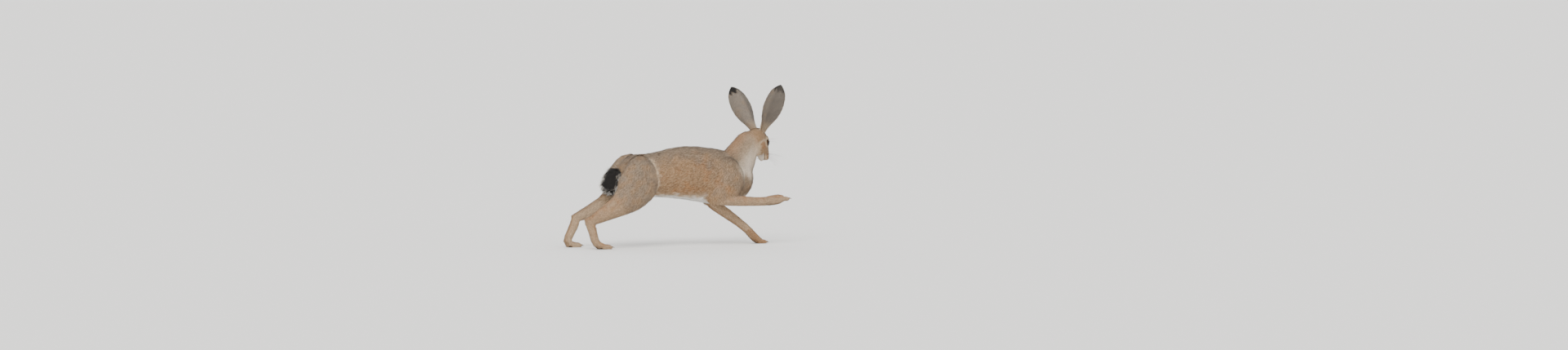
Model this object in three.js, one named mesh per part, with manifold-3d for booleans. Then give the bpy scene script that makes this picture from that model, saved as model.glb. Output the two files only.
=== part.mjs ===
// A brown hare at full stretch, life size, as a still museum model.
// Millimetres, +Z up. The hare faces +X and its left side is +Y.
// It stands on three feet: both hind feet and the left forefoot. The right foreleg reaches forward.
import * as THREE from 'three';
import { mergeVertices } from 'three/addons/utils/BufferGeometryUtils.js';
import Module from 'manifold-3d';

const wasm = await Module();
wasm.setup();

// Driving dimensions
const GAP = 0.3; // left between parts that meet face to face
const CUT_LOIN = -72; // where the trunk is parted, along X
const CUT_CHEST = 62;
const HEAD_PLACE = new THREE.Vector3(268, 27, 292);
const HEAD_YAW = THREE.MathUtils.degToRad(33); // turned to the hare's left
const HEAD_PITCH = THREE.MathUtils.degToRad(52); // nose down
const EYE_RADIUS = 9.5;
const EYE_PLACE = { x: 3, y: 17.6, z: 8.5 }; // in the head's own frame, left eye
const EYE_SLIT_LENGTH = 17.5;
const EYE_SLIT_HEIGHT = 14;
const LID_THICKNESS = 1.9;
const EAR_LENGTH = 146;
const EAR_ROOT = { x: -34, y: 13, z: 19 }; // in the head's own frame, left ear
// In degrees: splay leans an ear out to its side, forward tips it ahead, and turn is where its
// cup opens, from straight ahead towards its own side. Each ear moves by itself.
const LEFT_EAR = { splay: 32, forward: -4, turn: 38 };
const RIGHT_EAR = { splay: 25, forward: 4, turn: 140 };
const TAIL_ROOT = new THREE.Vector3(-164, 0, 240);
const TAIL_TIP = new THREE.Vector3(-238, -4, 124);
const TAIL_TWIST = THREE.MathUtils.degToRad(-36); // its upper side turns to the hare's right
const TAIL_LOCKS = 30;
const LEG_STANCE = 47; // the hind legs' distance from the middle at the hip
const RIGHT_HAUNCH_BACK = 15; // the right haunch reaches less far back, and leaves the tail in view
const LEFT_HOCK = { x: -288, z: 84, side: 60 };
const RIGHT_HOCK = { x: -289, z: 79, side: 58 };
const FOREFOOT_SIDE = 8; // the planted forefoot comes in under the chest
const RAISED_SIDE = 42;

// Colours and finishes
const furMaterial = (color) => new THREE.MeshStandardMaterial({ color, roughness: 0.95, metalness: 0 });
const BROWN = furMaterial(0xa98b6c);
const GREY_BROWN = furMaterial(0x9c8a74);
const PALE_BUFF = furMaterial(0xc9ad8e);
const EAR_GREY = furMaterial(0x8d857c);
const TAIL_BLACK = furMaterial(0x3a3532);
const EYE_DARK = new THREE.MeshStandardMaterial({ color: 0x1c120b, roughness: 0.1, metalness: 0 });

// Every number of a key section, read smoothly between the keys at t from 0 to 1
function sectionAt(keys, t) {
  const last = keys.length - 1;
  const i = Math.min(Math.floor(t * last), last - 1);
  const f = t * last - i;
  const key = (k) => keys[Math.min(Math.max(k, 0), last)];
  const out = {};
  for (const name of Object.keys(keys[0])) {
    const [a, b, c, d] = [i - 1, i, i + 1, i + 2].map((k) => key(k)[name]);
    out[name] = b + 0.5 * f * (c - a + f * (2 * a - 5 * b + 4 * c - d + f * (3 * (b - c) + d - a)));
  }
  return out;
}

function signedVolume(points, faces) {
  let sum = 0;
  for (let i = 0; i < faces.length; i += 3) {
    const [a, b, c] = [points[faces[i]], points[faces[i + 1]], points[faces[i + 2]]];
    sum += a.dot(b.clone().cross(c)) / 6;
  }
  return sum;
}

function solidFromFaces(points, faces) {
  const turned = signedVolume(points, faces) < 0 ? faces.slice().reverse() : faces;
  const vertProperties = new Float32Array(points.flatMap((p) => [p.x, p.y, p.z]));
  return new wasm.Manifold(new wasm.Mesh({ numProp: 3, vertProperties, triVerts: new Uint32Array(turned) }));
}

function solidFromGeometry(geometry, matrix = new THREE.Matrix4()) {
  const plain = geometry.clone().applyMatrix4(matrix);
  plain.deleteAttribute('normal');
  plain.deleteAttribute('uv');
  const merged = mergeVertices(plain, 1e-4);
  const place = merged.getAttribute('position');
  const corner = (_, i) => new THREE.Vector3().fromBufferAttribute(place, i);
  const points = Array.from({ length: place.count }, corner);
  return solidFromFaces(points, Array.from(merged.index.array));
}

// A closed body through a row of rings, each with the same number of points, with a flat face at each end
function solidFromRings(rings) {
  const sides = rings[0].length;
  const points = rings.flat();
  const middle = (ring) => ring.reduce((sum, p) => sum.add(p), new THREE.Vector3()).divideScalar(sides);
  const start = points.push(middle(rings[0])) - 1;
  const end = points.push(middle(rings.at(-1))) - 1;
  const lastRing = (rings.length - 1) * sides;
  const faces = [];
  for (let s = 0; s < sides; s++) {
    const next = (s + 1) % sides;
    for (let r = 0; r + 1 < rings.length; r++) {
      const [a, b] = [r * sides + s, r * sides + next];
      faces.push(a, b, b + sides, a, b + sides, a + sides);
    }
    faces.push(start, next, s, end, lastRing + s, lastRing + next);
  }
  return solidFromFaces(points, faces);
}

const power = (value, exponent) => Math.sign(value) * Math.abs(value) ** exponent;

// Upright rings across X: each key gives x, top, bottom, half (half width), level (height of the
// widest place, from 0 at the bottom to 1 at the top) and full (above 1 is boxier than an ellipse)
function trunkRings(keys, ringCount, sides, grow = 0, matrix = new THREE.Matrix4()) {
  return Array.from({ length: ringCount + 1 }, (_, r) => {
    const k = sectionAt(keys, r / ringCount);
    const wide = k.bottom + (k.top - k.bottom) * k.level;
    const stretch = r === 0 ? -grow : r === ringCount ? grow : 0;
    return Array.from({ length: sides }, (_, s) => {
      const angle = (2 * Math.PI * s) / sides;
      const [c, h] = [power(Math.cos(angle), 1 / k.full), power(Math.sin(angle), 1 / k.full)];
      const reach = (h > 0 ? k.top - wide : wide - k.bottom) + grow;
      return new THREE.Vector3(k.x + stretch, (k.half + grow) * c, wide + reach * h).applyMatrix4(matrix);
    });
  });
}

// Rings square to a bent path: each key gives x, y, z, wide (the reach to either side), and fore and
// back, the reach in the path's own upright plane. On a path that runs up, such as the neck's, fore is
// ahead and back behind; on a leg, whose path runs down, fore is behind and back ahead.
function limbRings(keys, ringCount, sides, { grow = 0, from = 0, to = 1 } = {}) {
  const place = (t) => {
    const k = sectionAt(keys, t);
    return new THREE.Vector3(k.x, k.y, k.z);
  };
  return Array.from({ length: ringCount + 1 }, (_, r) => {
    const t = from + ((to - from) * r) / ringCount;
    const k = sectionAt(keys, t);
    const step = 1e-3;
    const along = place(Math.min(t + step, 1)).sub(place(Math.max(t - step, 0))).normalize();
    const side = new THREE.Vector3(0, 1, 0).addScaledVector(along, -along.y).normalize();
    const front = side.clone().cross(along);
    const ends = r === 0 ? -grow : r === ringCount ? grow : 0;
    const centre = place(t).addScaledVector(along, ends);
    return Array.from({ length: sides }, (_, s) => {
      const angle = (2 * Math.PI * s) / sides;
      const [c, h] = [Math.cos(angle), Math.sin(angle)];
      const reach = (c > 0 ? k.fore : k.back) + grow;
      return centre.clone().addScaledVector(front, reach * c).addScaledVector(side, (k.wide + grow) * h);
    });
  });
}

function ellipsoid(x, y, z, rx, ry, rz, detail = 10, matrix = new THREE.Matrix4()) {
  const ball = new THREE.SphereGeometry(1, detail, Math.round(detail * 0.7));
  const shape = new THREE.Matrix4().makeScale(rx, ry, rz).setPosition(x, y, z);
  return solidFromGeometry(ball, matrix.clone().multiply(shape));
}

const largest = (solid) => solid.decompose().reduce((a, b) => (b.volume() > a.volume() ? b : a));

function named(name, solid, material) {
  const mesh = largest(solid).getMesh();
  const geometry = new THREE.BufferGeometry();
  geometry.setAttribute('position', new THREE.Float32BufferAttribute(mesh.vertProperties, 3));
  geometry.setIndex(Array.from(mesh.triVerts));
  geometry.computeVertexNormals();
  const out = new THREE.Mesh(geometry, material);
  out.name = name;
  return out;
}

// Trunk: chest, loin and rump, from the tail forward
const TRUNK = [
  { x: -184, top: 213, bottom: 168, half: 13, level: 0.5, full: 1 },
  { x: -179, top: 235, bottom: 155, half: 32, level: 0.5, full: 1 },
  { x: -164, top: 255, bottom: 147, half: 46, level: 0.52, full: 1.06 },
  { x: -136, top: 269, bottom: 143, half: 54, level: 0.54, full: 1.1 },
  { x: -98, top: 271, bottom: 143, half: 56, level: 0.54, full: 1.1 },
  { x: -58, top: 277, bottom: 142, half: 57, level: 0.52, full: 1.07 },
  { x: -15, top: 287, bottom: 138, half: 57, level: 0.5, full: 1.04 },
  { x: 35, top: 291, bottom: 131, half: 59, level: 0.48, full: 1.04 },
  { x: 80, top: 287, bottom: 123, half: 57, level: 0.48, full: 1.04 },
  { x: 125, top: 281, bottom: 117, half: 53, level: 0.48, full: 1.03 },
  { x: 163, top: 275, bottom: 117, half: 50, level: 0.48, full: 1.02 },
  { x: 194, top: 264, bottom: 127, half: 44, level: 0.5, full: 1 },
  { x: 216, top: 248, bottom: 145, half: 35, level: 0.5, full: 1 },
  { x: 229, top: 234, bottom: 165, half: 24, level: 0.5, full: 1 },
  { x: 234, top: 220, bottom: 184, half: 10, level: 0.5, full: 1 },
];
const TRUNK_RINGS = 24;
const TRUNK_SIDES = 26;
const trunkBody = (grow = 0) => solidFromRings(trunkRings(TRUNK, TRUNK_RINGS, TRUNK_SIDES, grow));

// The slice of a solid between two upright planes across X
function slice(solid, from, to) {
  const tall = 900;
  const box = new THREE.BoxGeometry(to - from, tall, tall).translate((from + to) / 2, 0, 0);
  return solid.intersect(solidFromGeometry(box));
}

// Neck: from between the shoulders up to the back of the head
const NECK = [
  { x: 158, y: 0, z: 205, fore: 52, back: 44, wide: 36 },
  { x: 178, y: 0, z: 230, fore: 57, back: 48, wide: 38 },
  { x: 196, y: 2, z: 256, fore: 54, back: 47, wide: 37 },
  { x: 215, y: 7, z: 282, fore: 45, back: 42, wide: 33 },
  { x: 233, y: 12, z: 306, fore: 32, back: 35, wide: 29 },
  { x: 247, y: 16, z: 322, fore: 15, back: 17, wide: 18 },
];

const neckBody = (grow = 0) => solidFromRings(limbRings(NECK, 9, 20, { grow }));

// Head in its own frame: nose towards +X, crown towards +Z
const HEAD = [
  { x: -54, top: 2, bottom: -14, half: 8, level: 0.5, full: 1 },
  { x: -50, top: 13, bottom: -23, half: 17, level: 0.5, full: 1 },
  { x: -40, top: 25, bottom: -32, half: 24, level: 0.5, full: 1 },
  { x: -26, top: 31.5, bottom: -39, half: 27.5, level: 0.46, full: 1.03 },
  { x: -10, top: 33, bottom: -40, half: 28, level: 0.44, full: 1.06 },
  { x: 5, top: 31, bottom: -36.5, half: 25.5, level: 0.46, full: 1.07 },
  { x: 20, top: 26, bottom: -31, half: 21, level: 0.46, full: 1.06 },
  { x: 34, top: 20, bottom: -26, half: 17.5, level: 0.46, full: 1.06 },
  { x: 46, top: 14, bottom: -21, half: 15, level: 0.5, full: 1.08 },
  { x: 54, top: 8, bottom: -15, half: 11.5, level: 0.5, full: 1.06 },
  { x: 57, top: 3, bottom: -9, half: 6.5, level: 0.5, full: 1 },
];
const headMatrix = new THREE.Matrix4()
  .makeRotationFromEuler(new THREE.Euler(0, HEAD_PITCH, HEAD_YAW, 'ZYX'))
  .setPosition(HEAD_PLACE);

function headBody(grow = 0, matrix = new THREE.Matrix4()) {
  return solidFromRings(trunkRings(HEAD, 18, 26, grow, matrix));
}

// The almond between the lids, as a prism that runs out of the head sideways
function eyeOpening(side) {
  const shape = new THREE.Shape();
  const [l, h] = [EYE_SLIT_LENGTH / 2, EYE_SLIT_HEIGHT / 2];
  shape.moveTo(-l, -1);
  shape.bezierCurveTo(-l * 0.45, h * 1.25, l * 0.45, h * 1.25, l, -0.5);
  shape.bezierCurveTo(l * 0.4, -h * 1.15, -l * 0.5, -h * 1.15, -l, -1);
  const reach = 20;
  const prism = new THREE.ExtrudeGeometry(shape, { depth: reach, bevelEnabled: false, curveSegments: 5 });
  prism.rotateX(Math.PI / 2); // now runs towards -Y, with its height along Z
  if (side > 0) prism.translate(0, reach, 0);
  prism.rotateX(side * -0.12);
  return solidFromGeometry(prism.translate(EYE_PLACE.x, side * EYE_PLACE.y, EYE_PLACE.z));
}

const eyeBall = (side, radius, detail) =>
  ellipsoid(EYE_PLACE.x, side * EYE_PLACE.y, EYE_PLACE.z, radius, radius, radius, detail);

// Lips: a shallow cut all round the muzzle, and the cleft that runs up to the nose
function mouthCut() {
  const shape = new THREE.Shape();
  shape.moveTo(21, 27);
  shape.quadraticCurveTo(70, 25, 70, 0);
  shape.quadraticCurveTo(70, -25, 21, -27);
  shape.lineTo(22, -17);
  shape.quadraticCurveTo(51, -14.5, 51, 0);
  shape.quadraticCurveTo(51, 14.5, 22, 17);
  const plate = new THREE.ExtrudeGeometry(shape, { depth: 1, bevelEnabled: false, curveSegments: 8 });
  plate.rotateY(0.1).translate(0, 0, -13);
  const cleft = new THREE.BoxGeometry(8, 0.9, 12).translate(57.5, 0, -9);
  return solidFromGeometry(plate).add(solidFromGeometry(cleft));
}

function nostril(side) {
  const slit = new THREE.SphereGeometry(1, 8, 6).scale(4, 1.2, 2.2).rotateZ(side * -0.6).rotateX(side * 0.5);
  return solidFromGeometry(slit.translate(55.5, side * 5.2, 0.5));
}

// The skull and its flesh, before the mouth, nostrils and eyes are cut
function headMass(grow = 0, matrix = new THREE.Matrix4()) {
  const lump = (x, y, z, rx, ry, rz) => ellipsoid(x, y, z, rx + grow, ry + grow, rz + grow, 10, matrix);
  let solid = headBody(grow, matrix).add(lump(37, 0, -21, 13.5, 9.5, 8)); // with the chin
  for (const side of [1, -1]) {
    solid = solid
      .add(lump(43, side * 8.5, -7.5, 14.5, 9.3, 10.5)) // whisker pad
      .add(lump(-3, side * 16.5, 17, 16, 9.5, 9)); // brow
  }
  return solid;
}

function head() {
  let solid = headMass();
  for (const side of [1, -1]) {
    solid = solid.add(eyeBall(side, EYE_RADIUS + GAP + LID_THICKNESS, 12));
  }
  solid = solid.subtract(mouthCut());
  for (const side of [1, -1]) {
    solid = solid
      .subtract(eyeBall(side, EYE_RADIUS + GAP, 12))
      .subtract(eyeOpening(side))
      .subtract(nostril(side));
  }
  return solid;
}

// Ear: a tall cup, almost a tube at its root and open like a leaf above. reach is the cup's
// radius, curl half of the angle that it wraps round, and thick its wall.
const EAR = [
  { up: 0, reach: 10, curl: 2.4, thick: 3.2 },
  { up: 0.1, reach: 12, curl: 2.25, thick: 3.2 },
  { up: 0.22, reach: 16, curl: 1.85, thick: 3 },
  { up: 0.36, reach: 24, curl: 1.45, thick: 2.8 },
  { up: 0.52, reach: 31, curl: 1.2, thick: 2.6 },
  { up: 0.66, reach: 33, curl: 1.1, thick: 2.4 },
  { up: 0.8, reach: 30.5, curl: 1.02, thick: 2.2 },
  { up: 0.9, reach: 24.5, curl: 0.92, thick: 2 },
  { up: 0.97, reach: 14, curl: 0.8, thick: 1.8 },
  { up: 1, reach: 5, curl: 0.8, thick: 1.6 },
];
const EAR_RINGS = 14;
const EAR_ACROSS = 10;

function earCup(side) {
  const rings = [];
  for (let r = 0; r <= EAR_RINGS; r++) {
    const k = sectionAt(EAR, r / EAR_RINGS);
    const lean = 5 * Math.sin(Math.PI * k.up) - 9 * k.up ** 2; // bows forward, tip drawn back
    const wall = (radius, turn) =>
      new THREE.Vector3(k.reach - radius * Math.cos(turn) + lean, radius * Math.sin(turn), k.up * EAR_LENGTH);
    const ring = [];
    for (let a = 0; a <= EAR_ACROSS; a++) {
      ring.push(wall(k.reach, k.curl * ((2 * a) / EAR_ACROSS - 1)));
    }
    for (let a = EAR_ACROSS; a >= 0; a--) {
      const across = (2 * a) / EAR_ACROSS - 1;
      const thickness = k.thick * (1 - 0.45 * across ** 4);
      ring.push(wall(k.reach - thickness, k.curl * across * 0.985));
    }
    rings.push(ring);
  }
  const place = earMatrix(side);
  return solidFromCrescents(rings.map((ring) => ring.map((p) => p.applyMatrix4(place))));
}

// Like solidFromRings, for thin bent sections: each end is closed by a strip between its two walls
function solidFromCrescents(rings) {
  const count = rings[0].length;
  const faces = [];
  for (let s = 0; s < count; s++) {
    const next = (s + 1) % count;
    for (let r = 0; r + 1 < rings.length; r++) {
      const [a, b] = [r * count + s, r * count + next];
      faces.push(a, b, b + count, a, b + count, a + count);
    }
  }
  const top = (rings.length - 1) * count;
  for (let a = 0; a + 1 < count / 2; a++) {
    const [p, q, r, s] = [a, a + 1, count - 2 - a, count - 1 - a];
    faces.push(p, r, q, p, s, r, top + p, top + q, top + r, top + p, top + r, top + s);
  }
  return solidFromFaces(rings.flat(), faces);
}

// The ears stand up from the floor, so the head's pitch is taken back first
function earMatrix(side) {
  const { splay, forward, turn } = side > 0 ? LEFT_EAR : RIGHT_EAR;
  const radians = THREE.MathUtils.degToRad;
  return new THREE.Matrix4()
    .makeRotationY(-HEAD_PITCH + radians(forward))
    .multiply(new THREE.Matrix4().makeRotationX(-side * radians(splay)))
    .multiply(new THREE.Matrix4().makeRotationZ(side * radians(turn)))
    .setPosition(EAR_ROOT.x, side * EAR_ROOT.y, EAR_ROOT.z);
}

// Hind leg, from the top of the haunch to the hock. side is 1 on the left.
function hindLegKeys(side, hock) {
  const y = (out) => side * (LEG_STANCE + out);
  const bare = side > 0 ? 0 : RIGHT_HAUNCH_BACK;
  return [
    { x: -112, y: y(-13), z: 264, fore: 16, back: 18, wide: 7 },
    { x: -119, y: y(-9), z: 246, fore: 46 - bare * 0.5, back: 54, wide: 24 },
    { x: -131, y: y(-5), z: 212, fore: 62 - bare, back: 66, wide: 35 },
    { x: -145, y: y(-3), z: 177, fore: 70 - bare, back: 64, wide: 36 },
    { x: -166, y: y(0), z: 147, fore: 54 - bare * 0.4, back: 49, wide: 31 },
    { x: -198, y: y(4), z: 122, fore: 35, back: 31, wide: 24 },
    { x: (hock.x - 198) / 2, y: y(8), z: (hock.z + 122) / 2, fore: 24, back: 22, wide: 18 },
    { x: hock.x + 14, y: side * hock.side, z: hock.z + 7, fore: 17.5, back: 15.5, wide: 14 },
    { x: hock.x - 4, y: side * hock.side, z: hock.z + 2, fore: 13, back: 11, wide: 11 },
  ];
}
const KNEE = 0.6; // where the thigh is parted from the shank, along the keys

// Hind foot, from the point of the hock down to the ball of the foot and the toes
function hindFootKeys(side, hock, ball) {
  const y = side * hock.side;
  const lean = (ball.x - hock.x) / (hock.z - ball.z);
  const down = (z) => ({ x: hock.x + lean * (hock.z - z), y, z });
  return [
    { x: hock.x - 7, y, z: hock.z + 13, fore: 5, back: 4, wide: 5 },
    { x: hock.x - 6, y, z: hock.z + 6, fore: 13, back: 9, wide: 11 },
    { ...down(hock.z - 7), fore: 16, back: 13.5, wide: 13.5 },
    { ...down((hock.z + ball.z) / 2 + 5), fore: 13.5, back: 13, wide: 13.5 },
    { ...down(ball.z + 14), fore: 12.5, back: 12, wide: 14.5 },
    { x: ball.x + 6, y, z: ball.z + 1, fore: 11, back: 13, wide: 16 },
    { x: ball.x + 20, y, z: ball.z - 3, fore: 8.5, back: 10, wide: 15 },
    { x: ball.x + 28, y, z: ball.z - 4, fore: 5, back: 7, wide: 11 },
  ];
}

const TOE_LENGTH = 22;
const CLAW_LENGTH = 9;

// Four toes side by side, each ending in its claw, from a row across the front of the foot
function toes(root, pitch, spread, thick) {
  const turn = new THREE.Matrix4().makeRotationY(-pitch).setPosition(root);
  let row = null;
  for (let i = 0; i < 4; i++) {
    const across = (i - 1.5) * spread;
    const ahead = TOE_LENGTH * (1 - 0.05 * (i - 1.5) ** 2);
    const fanned = (x) => across * (1 + 0.16 * (x / TOE_LENGTH));
    const section = (x, z, height, half) => ({ x, y: fanned(x), z, fore: height, back: height, wide: half });
    const keys = [
      section(-8, 0, thick * 0.85, spread * 0.45),
      section(3, 0.5, thick, spread * 0.56),
      section(ahead * 0.62, 0, thick, spread * 0.56),
      section(ahead * 0.92, -0.5, thick * 0.66, spread * 0.4),
      section(ahead, 0.5, 2.2, 1.8),
      section(ahead + CLAW_LENGTH * 0.45, 0.6, 1.5, 1.2),
      section(ahead + CLAW_LENGTH, -1.6, 0.4, 0.4),
    ];
    const placed = limbRings(keys, keys.length - 1, 7).map((ring) => ring.map((p) => p.applyMatrix4(turn)));
    row = row ? row.add(solidFromRings(placed)) : solidFromRings(placed);
  }
  return row;
}

// What is left of a foot above the floor, so that its sole is flat
function aboveFloor(solid) {
  const tall = 400;
  const box = new THREE.BoxGeometry(1200, 900, tall).translate(0, 0, tall / 2);
  return solid.intersect(solidFromGeometry(box));
}

function thighBody(side, hock, grow = 0) {
  return solidFromRings(limbRings(hindLegKeys(side, hock), 12, 20, { grow, to: KNEE }));
}

function hindLeg(side, hock, ball, trunk) {
  const word = side > 0 ? 'left' : 'right';
  const keys = hindLegKeys(side, hock);
  const footKeys = hindFootKeys(side, hock, ball);
  const gap = 0.0016;
  const thigh = thighBody(side, hock).subtract(trunk);
  const foot = (grow) => solidFromRings(limbRings(footKeys, 11, 12, { grow }));
  const shank = solidFromRings(limbRings(keys, 7, 16, { from: KNEE + gap })).subtract(foot(GAP));
  const toeRoot = new THREE.Vector3(ball.x + 22, side * hock.side, ball.z - 4.5);
  const whole = aboveFloor(foot(0).add(toes(toeRoot, 0, 8.2, 8.5)));
  return [
    named(`hindleg_${word}_thigh`, thigh, BROWN),
    named(`hindleg_${word}_shank`, shank, PALE_BUFF),
    named(`hindleg_${word}_foot`, whole, PALE_BUFF),
  ];
}

// Shoulder and upper arm, from the top of the shoulder blade to the elbow
function upperArmKeys(side, elbow) {
  return [
    { x: 134, y: side * 30, z: 257, fore: 12, back: 14, wide: 5 },
    { x: 140, y: side * 37, z: 243, fore: 30, back: 31, wide: 13 },
    { x: 150, y: side * 41, z: 214, fore: 43, back: 41, wide: 17 },
    { x: 153, y: side * 43, z: 185, fore: 48, back: 43, wide: 19 },
    { x: (elbow.x + 153) / 2 + 5, y: side * 43, z: 161, fore: 38, back: 36, wide: 19 },
    { x: elbow.x + 7, y: side * 44, z: elbow.z + 10, fore: 25, back: 27, wide: 18 },
    { x: elbow.x - 12, y: side * 44, z: elbow.z - 2, fore: 16, back: 17, wide: 13 },
    { x: elbow.x - 20, y: side * 44, z: elbow.z - 6, fore: 7, back: 7, wide: 6 },
  ];
}

// The raised right foreleg reaches straight forward
const RAISED_ELBOW = { x: 100, z: 137 };
const RAISED = [
  { x: 96, y: -43, z: 132, fore: 14, back: 15, wide: 13 },
  { x: 126, y: -44, z: 133, fore: 17, back: 17, wide: 15 },
  { x: 170, y: -44, z: 130, fore: 16.5, back: 16.5, wide: 14.5 },
  { x: 215, y: -43, z: 127, fore: 14.5, back: 14, wide: 13 },
  { x: 254, y: -RAISED_SIDE, z: 126, fore: 13.5, back: 14, wide: 12.5 },
  { x: 276, y: -RAISED_SIDE, z: 128, fore: 15, back: 15.5, wide: 14 },
  { x: 299, y: -RAISED_SIDE, z: 131, fore: 14.5, back: 15.5, wide: 15.5 },
  { x: 314, y: -RAISED_SIDE, z: 133, fore: 9.5, back: 11, wide: 12.5 },
];
// The left foreleg is planted and takes the weight in front
const PLANTED_ELBOW = { x: 118, z: 130 };
const PLANTED = [
  { x: 112, y: 42, z: 128, fore: 14, back: 14, wide: 13 },
  { x: 132, y: 38, z: 113, fore: 17, back: 16, wide: 15 },
  { x: 161, y: 30, z: 92, fore: 16.5, back: 16, wide: 14.5 },
  { x: 193, y: 20, z: 67, fore: 14, back: 14, wide: 13 },
  { x: 219, y: 12, z: 45, fore: 13, back: 13, wide: 12.5 },
  { x: 234, y: FOREFOOT_SIDE + 1, z: 29, fore: 13, back: 13, wide: 13 },
  { x: 250, y: FOREFOOT_SIDE, z: 12.5, fore: 12, back: 13, wide: 14.5 },
  { x: 264, y: FOREFOOT_SIDE, z: 7.2, fore: 7, back: 8.5, wide: 12 },
];
const WRIST = 0.6;

function foreleg(side, elbow, keys, toeRoot, toePitch, trunk) {
  const word = side > 0 ? 'left' : 'right';
  const upper = (grow) => solidFromRings(limbRings(upperArmKeys(side, elbow), 12, 16, { grow }));
  const gap = 0.0018;
  const forearm = solidFromRings(limbRings(keys, 8, 14, { to: WRIST }));
  const paw = solidFromRings(limbRings(keys, 6, 12, { from: WRIST + gap }));
  return [
    named(`foreleg_${word}_upper`, upper(0).subtract(trunk).subtract(neckBody(GAP)), GREY_BROWN),
    named(`foreleg_${word}_forearm`, forearm.subtract(upper(GAP)).subtract(trunk), PALE_BUFF),
    named(`foreleg_${word}_paw`, aboveFloor(paw.add(toes(toeRoot, toePitch, 7, 7.2))), PALE_BUFF),
  ];
}

// Repeatable draws between -1 and 1, so that the tail's locks vary alike at every run
function randomDraws(seed) {
  let state = seed;
  return () => {
    state = (state * 16807) % 2147483647;
    return (2 * state) / 2147483647 - 1;
  };
}

// Tail: a flat core that carries tapered, overlapping locks, spread to both sides
function tail(rump) {
  const along = TAIL_TIP.clone().sub(TAIL_ROOT);
  const length = along.length();
  along.normalize();
  const side = new THREE.Vector3(0, 1, 0).addScaledVector(along, -along.y).normalize();
  side.applyAxisAngle(along, TAIL_TWIST);
  const out = side.clone().cross(along); // away from the rump
  const point = (a, b, c) =>
    TAIL_ROOT.clone().addScaledVector(along, a).addScaledVector(side, b).addScaledVector(out, c);
  const core = [];
  for (let r = 0; r <= 7; r++) {
    const t = r / 7;
    const swell = Math.sqrt(Math.sin(Math.PI * (0.1 + 0.84 * t)));
    core.push(Array.from({ length: 12 }, (_, s) => {
      const angle = (Math.PI * s) / 6;
      return point(length * (0.02 + 0.56 * t), 17 * swell * Math.cos(angle), 8.5 * swell * Math.sin(angle));
    }));
  }
  let solid = solidFromRings(core);
  const draw = randomDraws(41);
  for (let i = 0; i < TAIL_LOCKS; i++) {
    const turn = i * 2.39996; // the golden angle spreads the roots round the core
    const down = (i + 0.5) / TAIL_LOCKS;
    solid = solid.add(tailLock(point, length, turn, down, draw));
  }
  return named('tail', solid.subtract(rump), TAIL_BLACK);
}

// One flat lock: rooted inside the core, it leans outwards and bends back along the tail
function tailLock(point, length, turn, down, draw) {
  const start = length * (0.02 + 0.5 * down);
  const reach = length * (0.36 + 0.03 * draw());
  const [c, s] = [Math.cos(turn), Math.sin(turn)];
  const wide = 7.5 + 0.8 * draw();
  const rings = [];
  for (let r = 0; r <= 3; r++) {
    const t = r / 3;
    const swell = 9 + 26 * t * (1 - 0.4 * t) * (1 - 0.4 * down);
    const taper = r === 3 ? 0.16 : Math.sqrt(1 - t * t * 0.8);
    const [halfWide, halfThick] = [wide * taper, 1.7 * taper + 0.2];
    rings.push([[1, 0], [0, 1], [-1, 0], [0, -1]].map(([p, q]) => {
      const [b, o] = [swell * 1.3 * c - p * halfWide * s + q * halfThick * c,
        swell * 0.75 * s + p * halfWide * c * 0.75 + q * halfThick * s];
      return point(start + reach * t, b, o);
    }));
  }
  return solidFromRings(rings);
}

const hare = new THREE.Group();
const grownTrunk = trunkBody(GAP);
const trunk = trunkBody();
const half = GAP / 2;
hare.add(
  named('torso_rump', slice(trunk, -300, CUT_LOIN - half), BROWN),
  named('torso_loin', slice(trunk, CUT_LOIN + half, CUT_CHEST - half), BROWN),
  named('torso_chest', slice(trunk, CUT_CHEST + half, 300), GREY_BROWN),
);

const neck = neckBody().subtract(grownTrunk).subtract(headMass(GAP, headMatrix));
hare.add(named('neck', neck, BROWN));

const headGroup = new THREE.Group();
headGroup.position.copy(HEAD_PLACE);
headGroup.rotation.set(0, HEAD_PITCH, HEAD_YAW, 'ZYX');
headGroup.add(named('head', head(), GREY_BROWN));
for (const side of [1, -1]) {
  const word = side > 0 ? 'left' : 'right';
  headGroup.add(
    named(`ear_${word}`, earCup(side).subtract(headMass(GAP)), EAR_GREY),
    named(`eye_${word}`, eyeBall(side, EYE_RADIUS, 12), EYE_DARK),
  );
}
hare.add(headGroup);

hare.add(
  ...hindLeg(1, LEFT_HOCK, { x: -322, z: 10.5 }, grownTrunk),
  ...hindLeg(-1, RIGHT_HOCK, { x: -270, z: 10.5 }, grownTrunk),
  ...foreleg(1, PLANTED_ELBOW, PLANTED, new THREE.Vector3(258, FOREFOOT_SIDE, 5), 0, grownTrunk),
  ...foreleg(-1, RAISED_ELBOW, RAISED, new THREE.Vector3(309, -RAISED_SIDE, 131.5), 0.08, grownTrunk),
  tail(grownTrunk.add(thighBody(1, LEFT_HOCK, GAP)).add(thighBody(-1, RIGHT_HOCK, GAP))),
);

// The origin goes to the middle of the box that the hare fills, on the floor
const box = new THREE.Box3().setFromObject(hare, true);
hare.position.set(-(box.min.x + box.max.x) / 2, -(box.min.y + box.max.y) / 2, -box.min.z);

const group = new THREE.Group();
group.add(hare);
export default group;
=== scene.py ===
# %% [markdown]
# # A brown hare at full stretch
# This lesson dresses a still, life-size model of a brown hare. A plain solid model is loaded first: it
# fixes every size and place. Over it we make one smooth skin, then a coat of small mesh tufts, and
# last the eyes, nose, claws and whiskers. Everything is in metres, the hare faces +X and +Z is up.

# %% Load the solid model
import bpy
import bmesh
import math
import numpy as np
from mathutils import Matrix, Vector
from mathutils.bvhtree import BVHTree


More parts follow.
